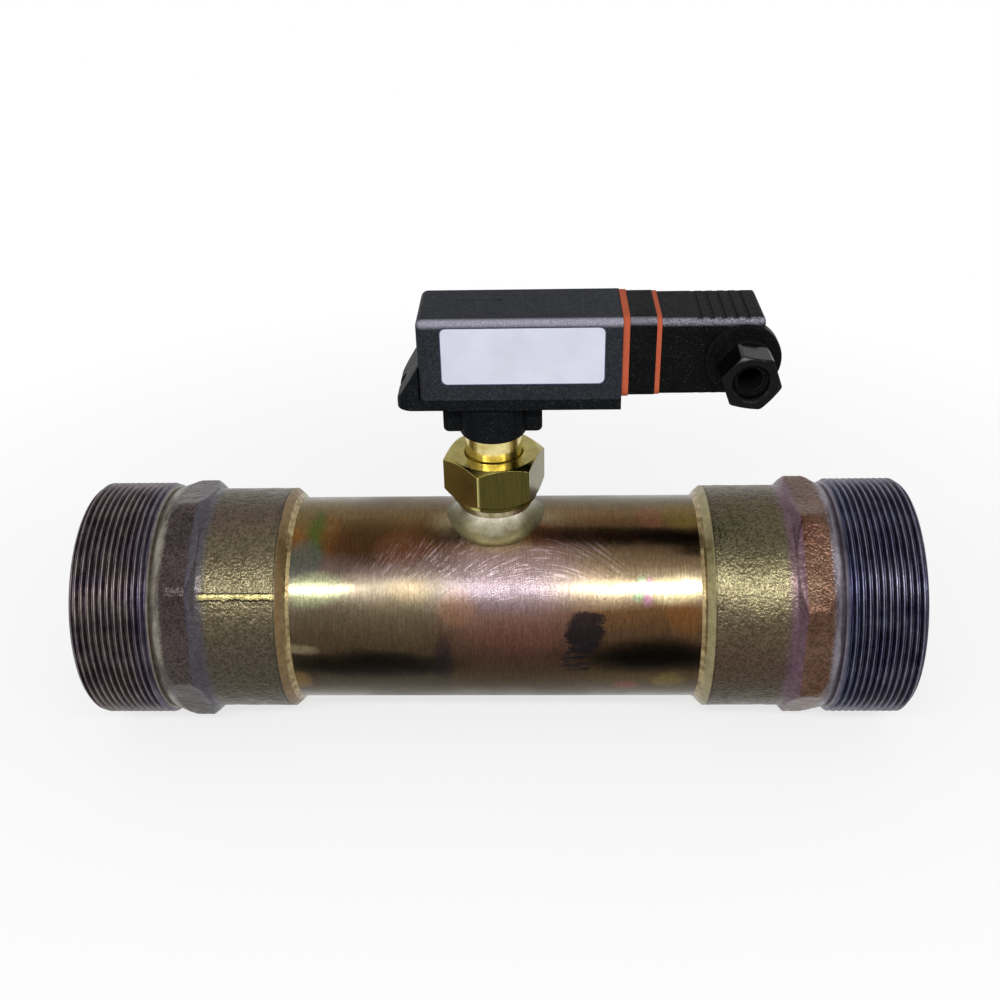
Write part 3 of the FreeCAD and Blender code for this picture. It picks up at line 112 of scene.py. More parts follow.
def lamp(name, place, wide, tall, power):
    """A white rectangular lamp that looks at the part."""
    data = bpy.data.lights.new(name, "AREA")
    data.shape, data.size, data.size_y = "RECTANGLE", wide, tall
    data.energy = power
    made = bpy.data.objects.new(name, data)
    made.location = place
    made.rotation_mode = "QUATERNION"
    made.rotation_quaternion = (CENTRE - Vector(place)).to_track_quat("-Z", "Y")
    scene.collection.objects.link(made)


def light_surroundings():
    """Dim light from all round, and white where the surroundings are seen or mirrored."""
    world = bpy.data.worlds.new("surroundings")
    scene.world = world
    world.use_nodes = True
    tree = world.node_tree
    plain = tree.nodes["Background"]
    plain.inputs["Color"].default_value = (1, 1, 1, 1)
    plain.inputs["Strength"].default_value = WORLD_LIGHT
    bright = tree.nodes.new("ShaderNodeBackground")
    bright.inputs["Color"].default_value = (1, 1, 1, 1)
    bright.inputs["Strength"].default_value = 1
    seen = seen_directly(tree)
    mix = tree.nodes.new("ShaderNodeMixShader")
    tree.links.new(seen, mix.inputs["Fac"])
    tree.links.new(plain.outputs[0], mix.inputs[1])
    tree.links.new(bright.outputs[0], mix.inputs[2])
    tree.links.new(mix.outputs[0], tree.nodes["World Output"].inputs["Surface"])


def seen_directly(tree):
    """1 for a ray from the camera, a mirror or glass, else 0."""
    path = tree.nodes.new("ShaderNodeLightPath")
    total = path.outputs["Is Camera Ray"]
    for name in ("Is Glossy Ray", "Is Transmission Ray"):
        both = tree.nodes.new("ShaderNodeMath")
        both.operation = "MAXIMUM"
        tree.links.new(total, both.inputs[0])
        tree.links.new(path.outputs[name], both.inputs[1])
        total = both.outputs[0]
    return total


def lay_floor(height):
    """A pale floor that keeps the shadow and runs into the white background."""
    reach = 12
    glow_near, glow_far, least_glow, most_glow = 0.12, 0.42, 0.74, 1.0
    mesh = bpy.data.meshes.new("floor")
    mesh.from_pydata([(-reach, -reach, height), (reach, -reach, height),
                      (reach, reach, height), (-reach, reach, height)], [], [(0, 1, 2, 3)])
    floor = bpy.data.objects.new("floor", mesh)
    scene.collection.objects.link(floor)
    material = bpy.data.materials.new("floor")
    material.use_nodes = True
    tree = material.node_tree
    tree.nodes.remove(tree.nodes["Principled BSDF"])
    diffuse = tree.nodes.new("ShaderNodeBsdfDiffuse")
    diffuse.inputs["Color"].default_value = (0.9, 0.9, 0.9, 1)
    glow = tree.nodes.new("ShaderNodeEmission")
    place = tree.nodes.new("ShaderNodeTexCoord")
    away = tree.nodes.new("ShaderNodeVectorMath")
    away.operation = "DISTANCE"
    away.inputs[1].default_value = (CENTRE.x, 0, height)
    tree.links.new(place.outputs["Object"], away.inputs[0])
    whiter = tree.nodes.new("ShaderNodeMapRange")
    for slot, value in enumerate((glow_near, glow_far, least_glow, most_glow), start=1):
        whiter.inputs[slot].default_value = value
    tree.links.new(away.outputs["Value"], whiter.inputs[0])
    share = tree.nodes.new("ShaderNodeMath")
    share.operation = "MULTIPLY"
    tree.links.new(whiter.outputs[0], share.inputs[1])
    tree.links.new(seen_directly(tree), share.inputs[0])
    mix = tree.nodes.new("ShaderNodeMixShader")
    tree.links.new(share.outputs[0], mix.inputs["Fac"])
    tree.links.new(diffuse.outputs[0], mix.inputs[1])
    tree.links.new(glow.outputs[0], mix.inputs[2])
    tree.links.new(mix.outputs[0], tree.nodes["Material Output"].inputs["Surface"])
    mesh.materials.append(material)


eye, upward, back = stand_camera()
lamp("front_strip", eye + upward * 0.06 + back * 0.02, 0.7, 0.04, 1.7)
lamp("overhead", (0.15, 0.15, 0.95), 0.8, 0.8, 0.5)
lamp("left_fill", (-0.75, -0.55, 0.45), 0.5, 0.5, 0.9)
light_surroundings()
lay_floor(cad_box[0].z)
scene.view_settings.view_transform = "Standard"

# ---------------------------------------------------------------- materials


def shade(red, green, blue):
    """A colour as it is seen, 0 to 255, as the linear one that a shader takes."""
    return tuple(((v / 255 + 0.055) / 1.055) ** 2.4 if v > 10 else v / 255 / 12.92
                 for v in (red, green, blue)) + (1,)


class Finish:
    """A node material as it is written.

    Each call adds a node and gives its output. Places are in mm. Colours are as they are seen,
    0 to 255.
    """

    def __init__(self, name, **sockets):
        self.material = bpy.data.materials.new(name)
        self.material.use_nodes = True
        self.tree = self.material.node_tree
        self.shader = self.tree.nodes["Principled BSDF"]
        for socket, value in sockets.items():
            self.shader.inputs[socket.replace("_", " ")].default_value = value
        self.mm = self.vector("MULTIPLY", self.add("TexCoord").outputs["Object"], (1000,) * 3)
        split = self.add("SeparateXYZ")
        self.put(split.inputs[0], self.mm)
        self.x, self.y, self.z = split.outputs

    def add(self, kind, **settings):
        node = self.tree.nodes.new("ShaderNode" + kind)
        for name, value in settings.items():
            setattr(node, name, value)
        return node

    def put(self, socket, value):
        if isinstance(value, bpy.types.NodeSocket):
            self.tree.links.new(value, socket)
        else:
            socket.default_value = value

    def vector(self, operation, a, b=(0, 0, 0)):
        node = self.add("VectorMath", operation=operation)
        self.put(node.inputs[0], a)
        self.put(node.inputs[1], b)
        return node.outputs["Value" if operation in ("LENGTH", "DOT_PRODUCT") else "Vector"]

    def sum(self, operation, a, b=0.0):
        node = self.add("Math", operation=operation)
        self.put(node.inputs[0], a)
        self.put(node.inputs[1], b)
        return node.outputs[0]

    def times(self, a, b):
        return self.sum("MULTIPLY", a, b)

    def plus(self, a, b):
        return self.sum("ADD", a, b)

    def span(self, value, low, high, start=0.0, end=1.0, smooth=True):
        """Goes from start to end while the value goes from low to high."""
        node = self.add("MapRange", interpolation_type="SMOOTHSTEP" if smooth else "LINEAR")
        for slot, v in zip(range(5), (value, low, high, start, end)):
            self.put(node.inputs[slot], v)
        return node.outputs[0]

    def noise(self, size, detail=3.0, rough=0.5, stretch=(1, 1, 1), seed=0.0, where=None):
        """Noise of that feature size in mm; stretch makes it longer along an axis."""
        place = self.vector("DIVIDE", where or self.mm, tuple(size * s for s in stretch))
        place = self.vector("ADD", place, (seed, seed * 0.7, -seed))
        node = self.add("TexNoise")
        for name, v in (("Vector", place), ("Scale", 1.0), ("Detail", detail),
                        ("Roughness", rough)):
            self.put(node.inputs[name], v)
        return node.outputs["Fac"]

    def mix(self, share, a, b, mode="MIX"):
        """Colour a with that share of colour b."""
        node = self.add("Mix", data_type="RGBA", blend_type=mode, clamp_factor=True)
        self.put(node.inputs[0], share)
        for slot, colour in ((6, a), (7, b)):
            self.put(node.inputs[slot], shade(*colour) if isinstance(colour, tuple) else colour)
        return node.outputs[2]

    def colours(self, value, *stops):
        """The colour that the stops, each a value and a colour, have at this value."""
        stops = [(place, shade(*colour)) for place, colour in stops]
        ramp = self.add("ValToRGB")
        self.put(ramp.inputs[0], value)
        points = ramp.color_ramp.elements
        points[0].position, points[0].color = stops[0]
        points[1].position, points[1].color = stops[-1]
        for place, colour in stops[1:-1]:
            points.new(place).color = colour
        return ramp.outputs[0]

    def soft_edges(self, radius):
        """The surface's direction with its sharp edges rounded off by that radius, in mm."""
        node = self.add("Bevel", samples=6)
        node.inputs["Radius"].default_value = radius * MM
        return node.outputs[0]

    def bump(self, height, distance, over=None):
        """Height 0 to 1 raises the surface by distance, in mm."""
        node = self.add("Bump")
        self.put(node.inputs["Height"], height)
        node.inputs["Distance"].default_value = distance * MM
        if over:
            self.put(node.inputs["Normal"], over)
        return node.outputs[0]

    def facing(self, direction):
        """How far the surface faces a direction of the object, -1 to 1."""
        return self.vector("DOT_PRODUCT", self.add("TexCoord").outputs["Normal"], direction)

    def turn(self):
        """The angle round the tube in degrees, 0 at the front and 90 on top."""
        angle = self.sum("ARCTAN2", self.z, self.times(self.y, -1.0))
        return self.times(angle, 180 / math.pi)

    def patch(self, along, round_, centre, reach, soft=0.5):
        """1 inside an oval stain on the tube, falling to 0 at its edge."""
        offs = [self.times(self.plus(value, -middle), 1 / half)
                for value, middle, half in zip((along, round_), centre, reach)]
        far = self.plus(*(self.times(off, off) for off in offs))
        return self.span(far, 1.0 + 1.6 * soft, 1.0 - soft)

    def done(self, colour=None, rough=None, normal=None, metallic=None):
        for name, value in (("Base Color", colour), ("Roughness", rough), ("Normal", normal),
                            ("Metallic", metallic)):
            if value is not None:
                self.put(self.shader.inputs[name], value)
        return self.material


def tarnished_tube():
    """Copper with the heat colours of its soldering, polished by hand in the middle, and with a
    painted highlight band and painted dark reflections in its colours.
    """
    f = Finish("tarnished_copper", Metallic=1.0)
    turn = f.turn()
    wander = f.plus(f.noise(12, 3, 0.5), -0.5)
    along = f.plus(f.x, f.times(wander, 7.0))
    round_ = f.plus(turn, f.times(f.plus(f.noise(14, 3, 0.5, (2, 1, 1), seed=5), -0.5), 12.0))
    share = f.times(f.plus(round_, 180.0), 1 / 360)

    def all_round(*stops):
        """The colours at angles up from the front, in degrees."""
        return f.colours(share, *(((angle + 180) / 360, colour) for angle, colour in stops))

    # the colours by angle paint the lamp's highlight band about 38° up and dark reflected
    # surroundings near the front, over the copper's tarnish
    left = all_round(
        (-180, (74, 62, 40)), (-60, (60, 50, 32)), (-36, (80, 68, 44)), (-20, (70, 60, 42)),
        (0, (62, 52, 38)), (14, (86, 72, 54)), (26, (104, 92, 72)), (38, (142, 132, 114)),
        (49, (110, 92, 84)), (61, (84, 56, 36)), (72, (86, 60, 34)), (84, (108, 84, 50)),
        (96, (104, 86, 54)), (125, (80, 66, 42)), (180, (74, 62, 40)))
    middle = all_round(
        (-180, (74, 62, 40)), (-60, (60, 50, 32)), (-32, (74, 62, 38)), (-14, (74, 56, 38)),
        (2, (78, 56, 46)), (13, (106, 74, 64)), (24, (126, 96, 86)), (38, (132, 120, 128)),
        (50, (156, 134, 132)), (62, (146, 114, 100)), (73, (136, 106, 74)), (86, (122, 98, 64)),
        (100, (100, 84, 54)), (125, (80, 66, 42)), (180, (74, 62, 40)))
    right = all_round(
        (-180, (74, 62, 40)), (-60, (60, 50, 32)), (-32, (84, 70, 44)), (-18, (84, 68, 44)),
        (0, (52, 40, 28)), (14, (84, 64, 46)), (26, (112, 80, 50)), (38, (206, 190, 156)),
        (50, (134, 112, 84)), (60, (92, 74, 54)), (70, (66, 52, 36)), (78, (90, 66, 40)),
        (87, (112, 88, 54)), (100, (94, 80, 50)), (125, (80, 66, 42)), (180, (74, 62, 40)))
    base = f.mix(f.span(along, 122, 148), left, middle)
    base = f.mix(f.span(along, 162, 192), base, right)
    # real stains, together with painted light: pale patches about 37° up are painted highlights,
    # near-black ones at 0° painted reflections of dark surroundings
    stains_and_painted_light = (   # centre and reach, in mm along and degrees up, then colour and amount
        ((84, 104), (11, 30), (118, 104, 62), 0.5),
        ((85.5, 75), (2.4, 15), (54, 84, 28), 0.62),
        ((90, 74), (3.2, 14), (116, 70, 34), 0.35),
        ((78.5, 69), (2.6, 7), (140, 88, 38), 0.38),
        ((81, 54), (6, 11), (78, 94, 84), 0.6),
        ((104, 66), (12, 14), (52, 36, 20), 0.6),
        ((117, 62), (8, 10), (122, 76, 54), 0.35),
        # painted highlights
        ((87, 38), (9, 7), (186, 198, 150), 0.5),
        ((119, 36), (6, 6), (176, 156, 116), 0.3),
        # painted reflection of dark surroundings
        ((104, -6), (27, 8), (14, 12, 7), 0.93),
        ((80, 6), (6, 3), (140, 132, 100), 0.7),
        ((77, -19), (4.5, 6), (152, 118, 58), 0.45),
        ((131, -2), (3.4, 13), (34, 28, 36), 0.6),
        ((137, 28), (6, 8), (158, 112, 84), 0.42),
        ((150, 80), (17, 12), (176, 170, 136), 0.55),
        ((151, 63), (9, 5), (176, 158, 96), 0.35),
        ((165, 72), (7, 7), (146, 80, 48), 0.55),
        ((175, 73), (6, 7), (76, 46, 36), 0.5),
        ((212, 69), (8, 4.5), (40, 34, 24), 0.6),
        ((186, 68), (16, 4.5), (64, 44, 30), 0.45),
        ((218, 85), (7, 9), (116, 100, 36), 0.4),
        ((206, 83), (4, 8), (136, 80, 70), 0.35),
        # painted highlights with rainbow tints
        ((201, 38), (2.2, 6), (150, 214, 168), 0.55),
        ((204.5, 36), (1.8, 7), (208, 130, 196), 0.5),
        ((214, 37), (8, 6), (244, 230, 176), 0.6),
        ((217, 24), (5, 8), (140, 90, 44), 0.36),
        # painted reflection of dark surroundings
        ((206, 0), (20, 10), (8, 8, 5), 0.95),
        ((197, -24), (3.6, 4), (150, 62, 66), 0.36),
        ((212, -20), (5, 5), (142, 124, 56), 0.36),
        ((158, 12), (12, 10), (110, 72, 60), 0.35),
    )
    for centre, reach, colour, amount in stains_and_painted_light:
        mask = f.patch(along, round_, centre, reach, 0.95)
        base = f.mix(f.times(mask, amount), base, colour)
    # a burnt mark with ragged edges, torn into stripes at its foot
    torn = f.times(f.plus(f.noise(2.4, 5, 0.7, (2.2, 1, 1), seed=12), -0.5), 9.0)
    mark = f.patch(f.plus(f.x, torn), f.plus(turn, f.times(torn, 2.2)), (182, 15), (6.5, 12), 0.3)
    foot = f.patch(f.plus(f.x, torn), f.plus(turn, f.times(torn, 0.6)), (179, -3), (6, 8), 0.3)
    stripes = f.span(f.noise(0.9, 3, 0.6, (9, 1, 1), seed=14), 0.47, 0.56)
    mark = f.sum("MAXIMUM", f.times(mark, 0.86), f.times(f.times(foot, stripes), 0.8))
    base = f.mix(mark, base, (22, 24, 31))
    # short marks of the fine abrasive, laid round the tube
    rings = f.noise(0.32, 3, 0.6, (1, 16, 16), seed=8)
    fine = f.noise(0.8, 4, 0.75, (1.0, 1.6, 1.6), seed=3)
    base = f.mix(f.span(rings, 0.36, 0.62, 0.30, 0.0), base, (110, 88, 70), "MULTIPLY")
    base = f.mix(f.span(fine, 0.35, 0.65, 0.30, 0.0), base, (120, 96, 76), "MULTIPLY")
    # the arcs that a hand-held polishing pad left, centred well below the tube
    pad_centre = (166, 0, -52)
    away = f.vector("LENGTH", f.vector("SUBTRACT", f.mm, pad_centre))
    strokes = f.add("CombineXYZ")
    f.put(strokes.inputs[0], away)
    f.put(strokes.inputs[1], f.times(f.plus(f.x, f.y), 0.025))
    arc = f.noise(0.30, 3, 0.8, seed=2, where=strokes.outputs[0])
    polished = f.times(f.patch(along, round_, (152, 52), (40, 15), 0.7),
                       f.span(f.noise(5, 3, 0.7, seed=9), 0.30, 0.54))
    scratch = f.times(f.span(arc, 0.52, 0.64), polished)
    base = f.mix(f.times(scratch, 0.36), base, (232, 212, 216))
    middle_part = f.times(f.span(f.x, 112, 150), f.span(f.x, 205, 176))
    rough = f.plus(0.20, f.times(middle_part, 0.09))
    rough = f.plus(rough, f.times(f.span(along, 94, 108), f.span(along, 138, 124, 0.0, 0.13)))
    rough = f.plus(rough, f.span(f.noise(10, 4, 0.6, seed=4), 0.3, 0.7, 0.0, 0.07))
    rough = f.plus(rough, f.times(f.plus(fine, -0.5), 0.10))
    rough = f.plus(rough, f.times(mark, 0.25))
    normal = f.bump(rings, 0.003)
    normal = f.bump(f.noise(1.6, 4, 0.65), 0.022, over=normal)
    normal = f.bump(f.noise(14, 2, 0.5, seed=6), 0.20, over=normal)
    normal = f.bump(scratch, 0.02, over=normal)
    return f.done(base, rough, normal)


# colours of the castings: the body from its underside to its top, with a painted highlight at
# 0.47, about 37° up, the octagon, the thread's parts, darker at the root as painted shade and
# lighter at the crest as painted highlight, the band beside the thread, painted lighter against
# the thread's shade, the smooth band behind the octagon, and the rim of the mouth
INLET_SKIN = {
    "body": ((0.0, (66, 58, 40)), (0.2, (74, 68, 48)), (0.34, (88, 80, 68)), (0.42, (98, 90, 70)),
             (0.47, (122, 114, 88)), (0.53, (100, 92, 72)), (0.62, (88, 76, 66)),
             (0.74, (82, 76, 54)), (1.0, (74, 66, 44))),
    "octagon": ((0.32, (66, 58, 58)), (0.5, (76, 66, 66)), (0.68, (84, 76, 72))),
    "crest": (130, 120, 116), "flank": (114, 104, 106), "root": (98, 90, 92),
    "band": (136, 130, 120), "smooth": (80, 77, 88), "rim": (124, 102, 72),
}
OUTLET_SKIN = {
    "body": ((0.0, (70, 60, 42)), (0.2, (74, 66, 44)), (0.34, (88, 72, 60)), (0.42, (100, 90, 70)),
             (0.47, (144, 136, 104)), (0.53, (106, 100, 76)), (0.6, (88, 82, 62)),
             (0.68, (84, 72, 50)), (0.8, (86, 70, 48)), (1.0, (80, 66, 46))),
    "octagon": ((0.32, (92, 64, 52)), (0.5, (106, 80, 66)), (0.68, (116, 94, 78))),
    "crest": (118, 116, 132), "flank": (92, 92, 108), "root": (80, 80, 96),
    "band": (128, 122, 130), "smooth": (104, 80, 94), "rim": (146, 138, 102),
}


def cast_metal(name, skin, mirrored):
    """Gunmetal: cut threads, and pebbled skin where it was left as cast."""
    f = Finish(name, Metallic=1.0)
    along = f.plus(f.times(f.x, -1.0), LENGTH) if mirrored else f.x
    turn = f.turn()
    wide = f.noise(16, 3, 0.5)
    height = f.plus(f.times(f.plus(turn, 90.0), 1 / 270),
                    f.times(f.plus(f.noise(26, 2, 0.5, seed=3), -0.5), 0.12))
    # the body's colours paint a highlight band at 0.47, about 37° up, where the lamp's reflection
    # falls
    body = f.colours(height, *skin["body"])
    facets = f.colours(wide, *skin["octagon"])
    radius = f.vector("LENGTH", f.vector("MULTIPLY", f.mm, (0, 1, 1)))
    rise = f.span(radius, THREAD_TOP - THREAD_DEPTH, THREAD_TOP, smooth=False)
    # darker roots paint shade in the grooves, lighter crests a highlight on them
    thread = f.colours(rise, (0.0, skin["root"]), (0.35, skin["flank"]), (0.88, skin["flank"]),
                       (0.995, skin["crest"]))
    bloom = f.span(f.noise(9, 3, 0.6), 0.42, 0.62, 0.0, 0.45)
    thread = f.mix(bloom, thread, (84, 76, 128), "SOFT_LIGHT")
    thread = f.mix(f.span(f.noise(3, 4, 0.7, (1, 3, 3), seed=11), 0.35, 0.62, 0.35, 0.0), thread,
                   (100, 92, 84), "MULTIPLY")
    # heat tint where the thread ends
    thread = f.mix(f.span(along, 19.0, 27.0, 0.0, 0.35), thread, (74, 74, 108))
    # the band beside the thread is painted lighter against the shade that the thread beside it
    # casts and reflects
    colour = f.mix(f.span(along, 27.0, RUN_OUT_END), thread, skin["band"])
    colour = f.mix(f.span(along, 31.0, 33.0), colour, facets)
    smooth_band = f.times(f.span(along, 41.2, 42.2), f.span(along, 49.0, 45.0))
    colour = f.mix(f.span(along, 41.9, 43.6), colour, body)
    colour = f.mix(f.times(smooth_band, 0.8), colour, skin["smooth"])
    mouth = f.span(along, CUP_END - 0.3, CUP_END)
    colour = f.mix(mouth, colour, skin["rim"])
    inside = f.span(radius, SOCKET + 0.5, SOCKET + 0.1)
    colour = f.mix(inside, colour, (120, 100, 70))
    cast = f.times(f.span(along, 30.5, 32), f.times(f.span(along, 72.6, 72.2),
                                                  f.plus(f.times(inside, -1.0), 1.0)))
    cast = f.times(cast, f.span(smooth_band, 0.0, 1.0, 1.0, 0.45))
    grit = f.noise(0.95, 1, 0.5, seed=1)
    pits = f.span(grit, 0.38, 0.56)
    colour = f.mix(f.times(cast, f.plus(f.times(pits, -0.4), 0.4)), colour, (84, 76, 70),
                   "MULTIPLY")
    colour = f.mix(f.span(f.noise(2.4, 4, 0.7, seed=6), 0.36, 0.6, 0.3, 0.0), colour,
                   (120, 106, 94), "MULTIPLY")
    if not mirrored:
        # the parting seam: a raised ridge, bright partly from wear and partly as a painted
        # highlight, with painted shade along its torn lower edge and above it
        torn = f.times(f.plus(f.noise(3.0, 4, 0.7, (1, 3, 3), seed=4), -0.5), 4.0)
        reach = f.times(f.span(f.x, OCTAGON_END, OCTAGON_END + 2.5),
                        f.span(f.x, CUP_END, CUP_END - 1.0))
        ragged = f.plus(turn, torn)
        strip = f.times(f.span(ragged, SEAM - 1.6, SEAM - 1.1),
                        f.span(turn, SEAM + 1.4, SEAM + 1.0))
        under = f.times(f.span(ragged, SEAM - 2.6, SEAM - 2.1),
                        f.span(ragged, SEAM - 1.1, SEAM - 1.6))
        over = f.times(f.span(turn, SEAM + 1.0, SEAM + 1.4), f.span(turn, SEAM + 2.3, SEAM + 1.8))
        colour = f.mix(f.times(f.times(strip, reach), 0.75), colour, (190, 178, 120))
        dark = f.times(f.plus(under, f.times(over, 0.8)), reach)
        colour = f.mix(f.times(dark, 0.9), colour, (40, 34, 30))
    rough = f.plus(f.times(cast, -0.03), f.span(f.noise(4, 3, 0.6), 0.3, 0.7, 0.30, 0.42))
    normal = f.bump(f.times(grit, cast), 0.34)
    normal = f.bump(f.noise(0.45, 2, 0.6, seed=7), 0.012, over=normal)
    turned = f.noise(0.22, 2, 0.6, (1, 60, 60), seed=2)
    normal = f.bump(f.times(turned, mouth), 0.02, over=normal)
    return f.done(colour, rough, normal)


def turned_metal(name, colour, dark, rough=0.24, spots=0.35, lines=0.03, edge=0.0,
                 grain=(40, 40, 1), dull=None):
    """Machined metal: fine tool lines and a little tarnish.

    dull has the colours painted on a nut's sides for their light and shade: two for the front,
    painted dark as a reflection of dark surroundings, then left, painted lighter, and right,
    painted darker.
    """
    f = Finish(name, Metallic=1.0)
    tarnish = f.noise(5, 4, 0.65)
    tint = f.colours(tarnish, (0.3, dark), (0.62, colour))
    if dull:
        # the nut's front sides painted dark as a reflection of dark surroundings, and its left
        # side painted lighter
        front = f.sum("ABSOLUTE", f.facing((-0.2, -0.98, 0)))
        fine_lines = f.span(f.noise(0.3, 3, 0.6, (1, 1, 40), seed=15), 0.35, 0.65)
        painted_light = f.mix(fine_lines, dull[0], dull[1])
        left, right = BRANCH_X - 5.4, BRANCH_X + 12.4
        painted_light = f.mix(f.span(f.x, left + 1.0, left), painted_light, dull[2])
        tint = f.mix(f.span(front, 0.5, 0.72), tint, painted_light)
        # its right side painted darker, as shade
        upright = f.span(f.facing((0, 0, 1)), 0.4, 0.2)
        tint = f.mix(f.times(f.span(f.x, right, right + 0.8), upright), tint, dull[3])
    tint = f.mix(f.span(f.noise(0.8, 4, 0.7, seed=3), 0.3, 0.7, spots, 0.0), tint, dark,
                 "MULTIPLY")
    marks = f.noise(0.22, 3, 0.6, grain, seed=5)
    normal = f.bump(marks, lines, over=f.soft_edges(edge) if edge else None)
    return f.done(tint, f.span(tarnish, 0.3, 0.7, rough + 0.06, rough - 0.02),
                  f.bump(f.noise(1.5, 3, 0.6), 0.006, over=normal))


def moulded(name, colour, dust, grain=0.35, depth=0.012, low=0.34, high=0.46, shine=0.015,
            edge=0.0, painted_light=None, specks=0.45):
    """Moulded plastic or rubber with its fine grain and some handling dust.

    worn is the place, in mm, of an edge along x that handling has polished and that gets a painted
    highlight: y, z, how wide and the least share of the polish and highlight.
    """
    f = Finish(name, Specular_IOR_Level=shine)
    cloud = f.noise(8, 4, 0.6)
    tint = f.mix(f.span(cloud, 0.35, 0.75, 0.0, 0.35), colour, dust)
    sparkle = f.noise(0.55, 2, 0.6, seed=4)
    tint = f.mix(f.span(sparkle, 0.35, 0.62, specks, 0.0), tint, (60, 60, 60), "MULTIPLY")
    tint = f.mix(f.span(sparkle, 0.60, 0.74, 0.0, specks * 0.66), tint, (92, 92, 92))
    rough = f.span(f.noise(2.5, 4, 0.6, seed=2), 0.3, 0.7, low, high)
    if painted_light:
        away = f.vector("LENGTH", f.vector("MULTIPLY", f.vector(
            "SUBTRACT", f.mm, (0, painted_light[0], painted_light[1])), (0, 1, 1)))
        # a painted highlight along that edge, broken by grain, where the roughness is also lowered
        ridge = f.times(f.span(away, painted_light[2], 0.8),
                        f.span(f.noise(0.42, 2, 0.7, seed=13), 0.46, 0.62, painted_light[3], 1.0))
        tint = f.mix(f.times(ridge, 0.7), tint, (186, 184, 200))
        rough = f.plus(rough, f.times(ridge, -0.14))
    normal = f.bump(f.noise(grain, 2, 0.6), depth, over=f.soft_edges(edge) if edge else None)
    normal = f.bump(f.noise(14, 2, 0.5, seed=7), 0.05, over=normal)
    return f.done(tint, rough, normal)


def solder_metal(name, dull, bright):
    """Solder that ran out in small lumps."""
    f = Finish(name, Metallic=1.0)
    lump = f.noise(2.6, 4, 0.6)
    tint = f.colours(lump, (0.34, dull), (0.66, bright))
    return f.done(tint, f.span(lump, 0.3, 0.7, 0.38, 0.2),
                  f.bump(lump, 0.10, over=f.bump(f.noise(0.4, 3, 0.6), 0.02)))


def braze_metal():
    """Silver braze, bright at the branch and running out into the tarnish of the tube."""
    f = Finish("silver_braze", Metallic=1.0)
    out = f.vector("LENGTH", f.vector("MULTIPLY", f.vector("SUBTRACT", f.mm, (BRANCH_X, 0, 0)),
                                      (1, 1, 0)))
    out = f.plus(out, f.times(f.plus(f.noise(6, 3, 0.6), -0.5), 2.6))
    tint = f.colours(f.span(out, 13.0, 20.0, smooth=False), (0.0, (228, 222, 204)),
                     (0.12, (184, 178, 154)), (0.36, (96, 90, 66)),
                     (0.6, (78, 69, 44)), (1.0, (86, 63, 44)))
    # painted shade: darker along the tube to each side of the branch
    side_shade = f.span(f.sum("ABSOLUTE", f.plus(f.x, -BRANCH_X - 1)), 5.0, 14.0, 0.0, 0.8)
    tint = f.mix(side_shade, tint, (98, 92, 66))
    specks = f.span(f.noise(1.1, 4, 0.7, seed=3), 0.35, 0.6, 0.22, 0.0)
    tint = f.mix(specks, tint, (120, 106, 84), "MULTIPLY")
    return f.done(tint, f.span(out, 13.5, 16.5, 0.24, 0.42),
                  f.bump(f.noise(2.2, 3, 0.6), 0.05, over=f.bump(f.noise(0.5, 3, 0.6), 0.012)))


def bare_label():
    """A blank foil label with rounded corners and a thin dark border."""
    f = Finish("label_foil", Roughness=0.4)
    low, high = (v * 1000 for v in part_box("rating_label"))
    corner = 2.2
    middle, half = (low + high) / 2, (high - low) / 2
    off = f.vector("ABSOLUTE", f.vector("SUBTRACT", f.mm, (middle.x, 0, middle.z)))
    off = f.vector("SUBTRACT", off, (half.x - corner, 0, half.z - corner))
    off = f.vector("MULTIPLY", f.vector("MAXIMUM", off, (0, 0, 0)), (1, 0, 1))
    edge = f.plus(f.vector("LENGTH", off), -corner)
    brushed = f.noise(0.16, 3, 0.6, (60, 1, 1))
    foil = f.colours(f.noise(11, 3, 0.5), (0.3, (196, 198, 212)), (0.7, (206, 208, 222)))
    foil = f.mix(f.span(brushed, 0.3, 0.7, 0.0, 0.05), foil, (170, 170, 190), "MULTIPLY")
    tint = f.mix(f.span(edge, -0.42, -0.26), foil, (44, 40, 84))
    tint = f.mix(f.span(edge, -0.08, 0.0), tint, (40, 42, 48))
    return f.done(tint, f.span(brushed, 0.3, 0.7, 0.36, 0.46), f.bump(brushed, 0.004),
                  f.span(edge, -0.3, -0.5, 0.0, 0.3))


def clear_glass():
    """The tube of the reed contact."""
    f = Finish("switch_glass", Roughness=0.04, IOR=1.5, Transmission_Weight=0.9)
    haze = f.noise(3, 3, 0.6)
    return f.done(f.colours(haze, (0.3, (196, 214, 200)), (0.7, (226, 236, 228))),
                  f.span(haze, 0.3, 0.7, 0.03, 0.12), f.bump(haze, 0.02))


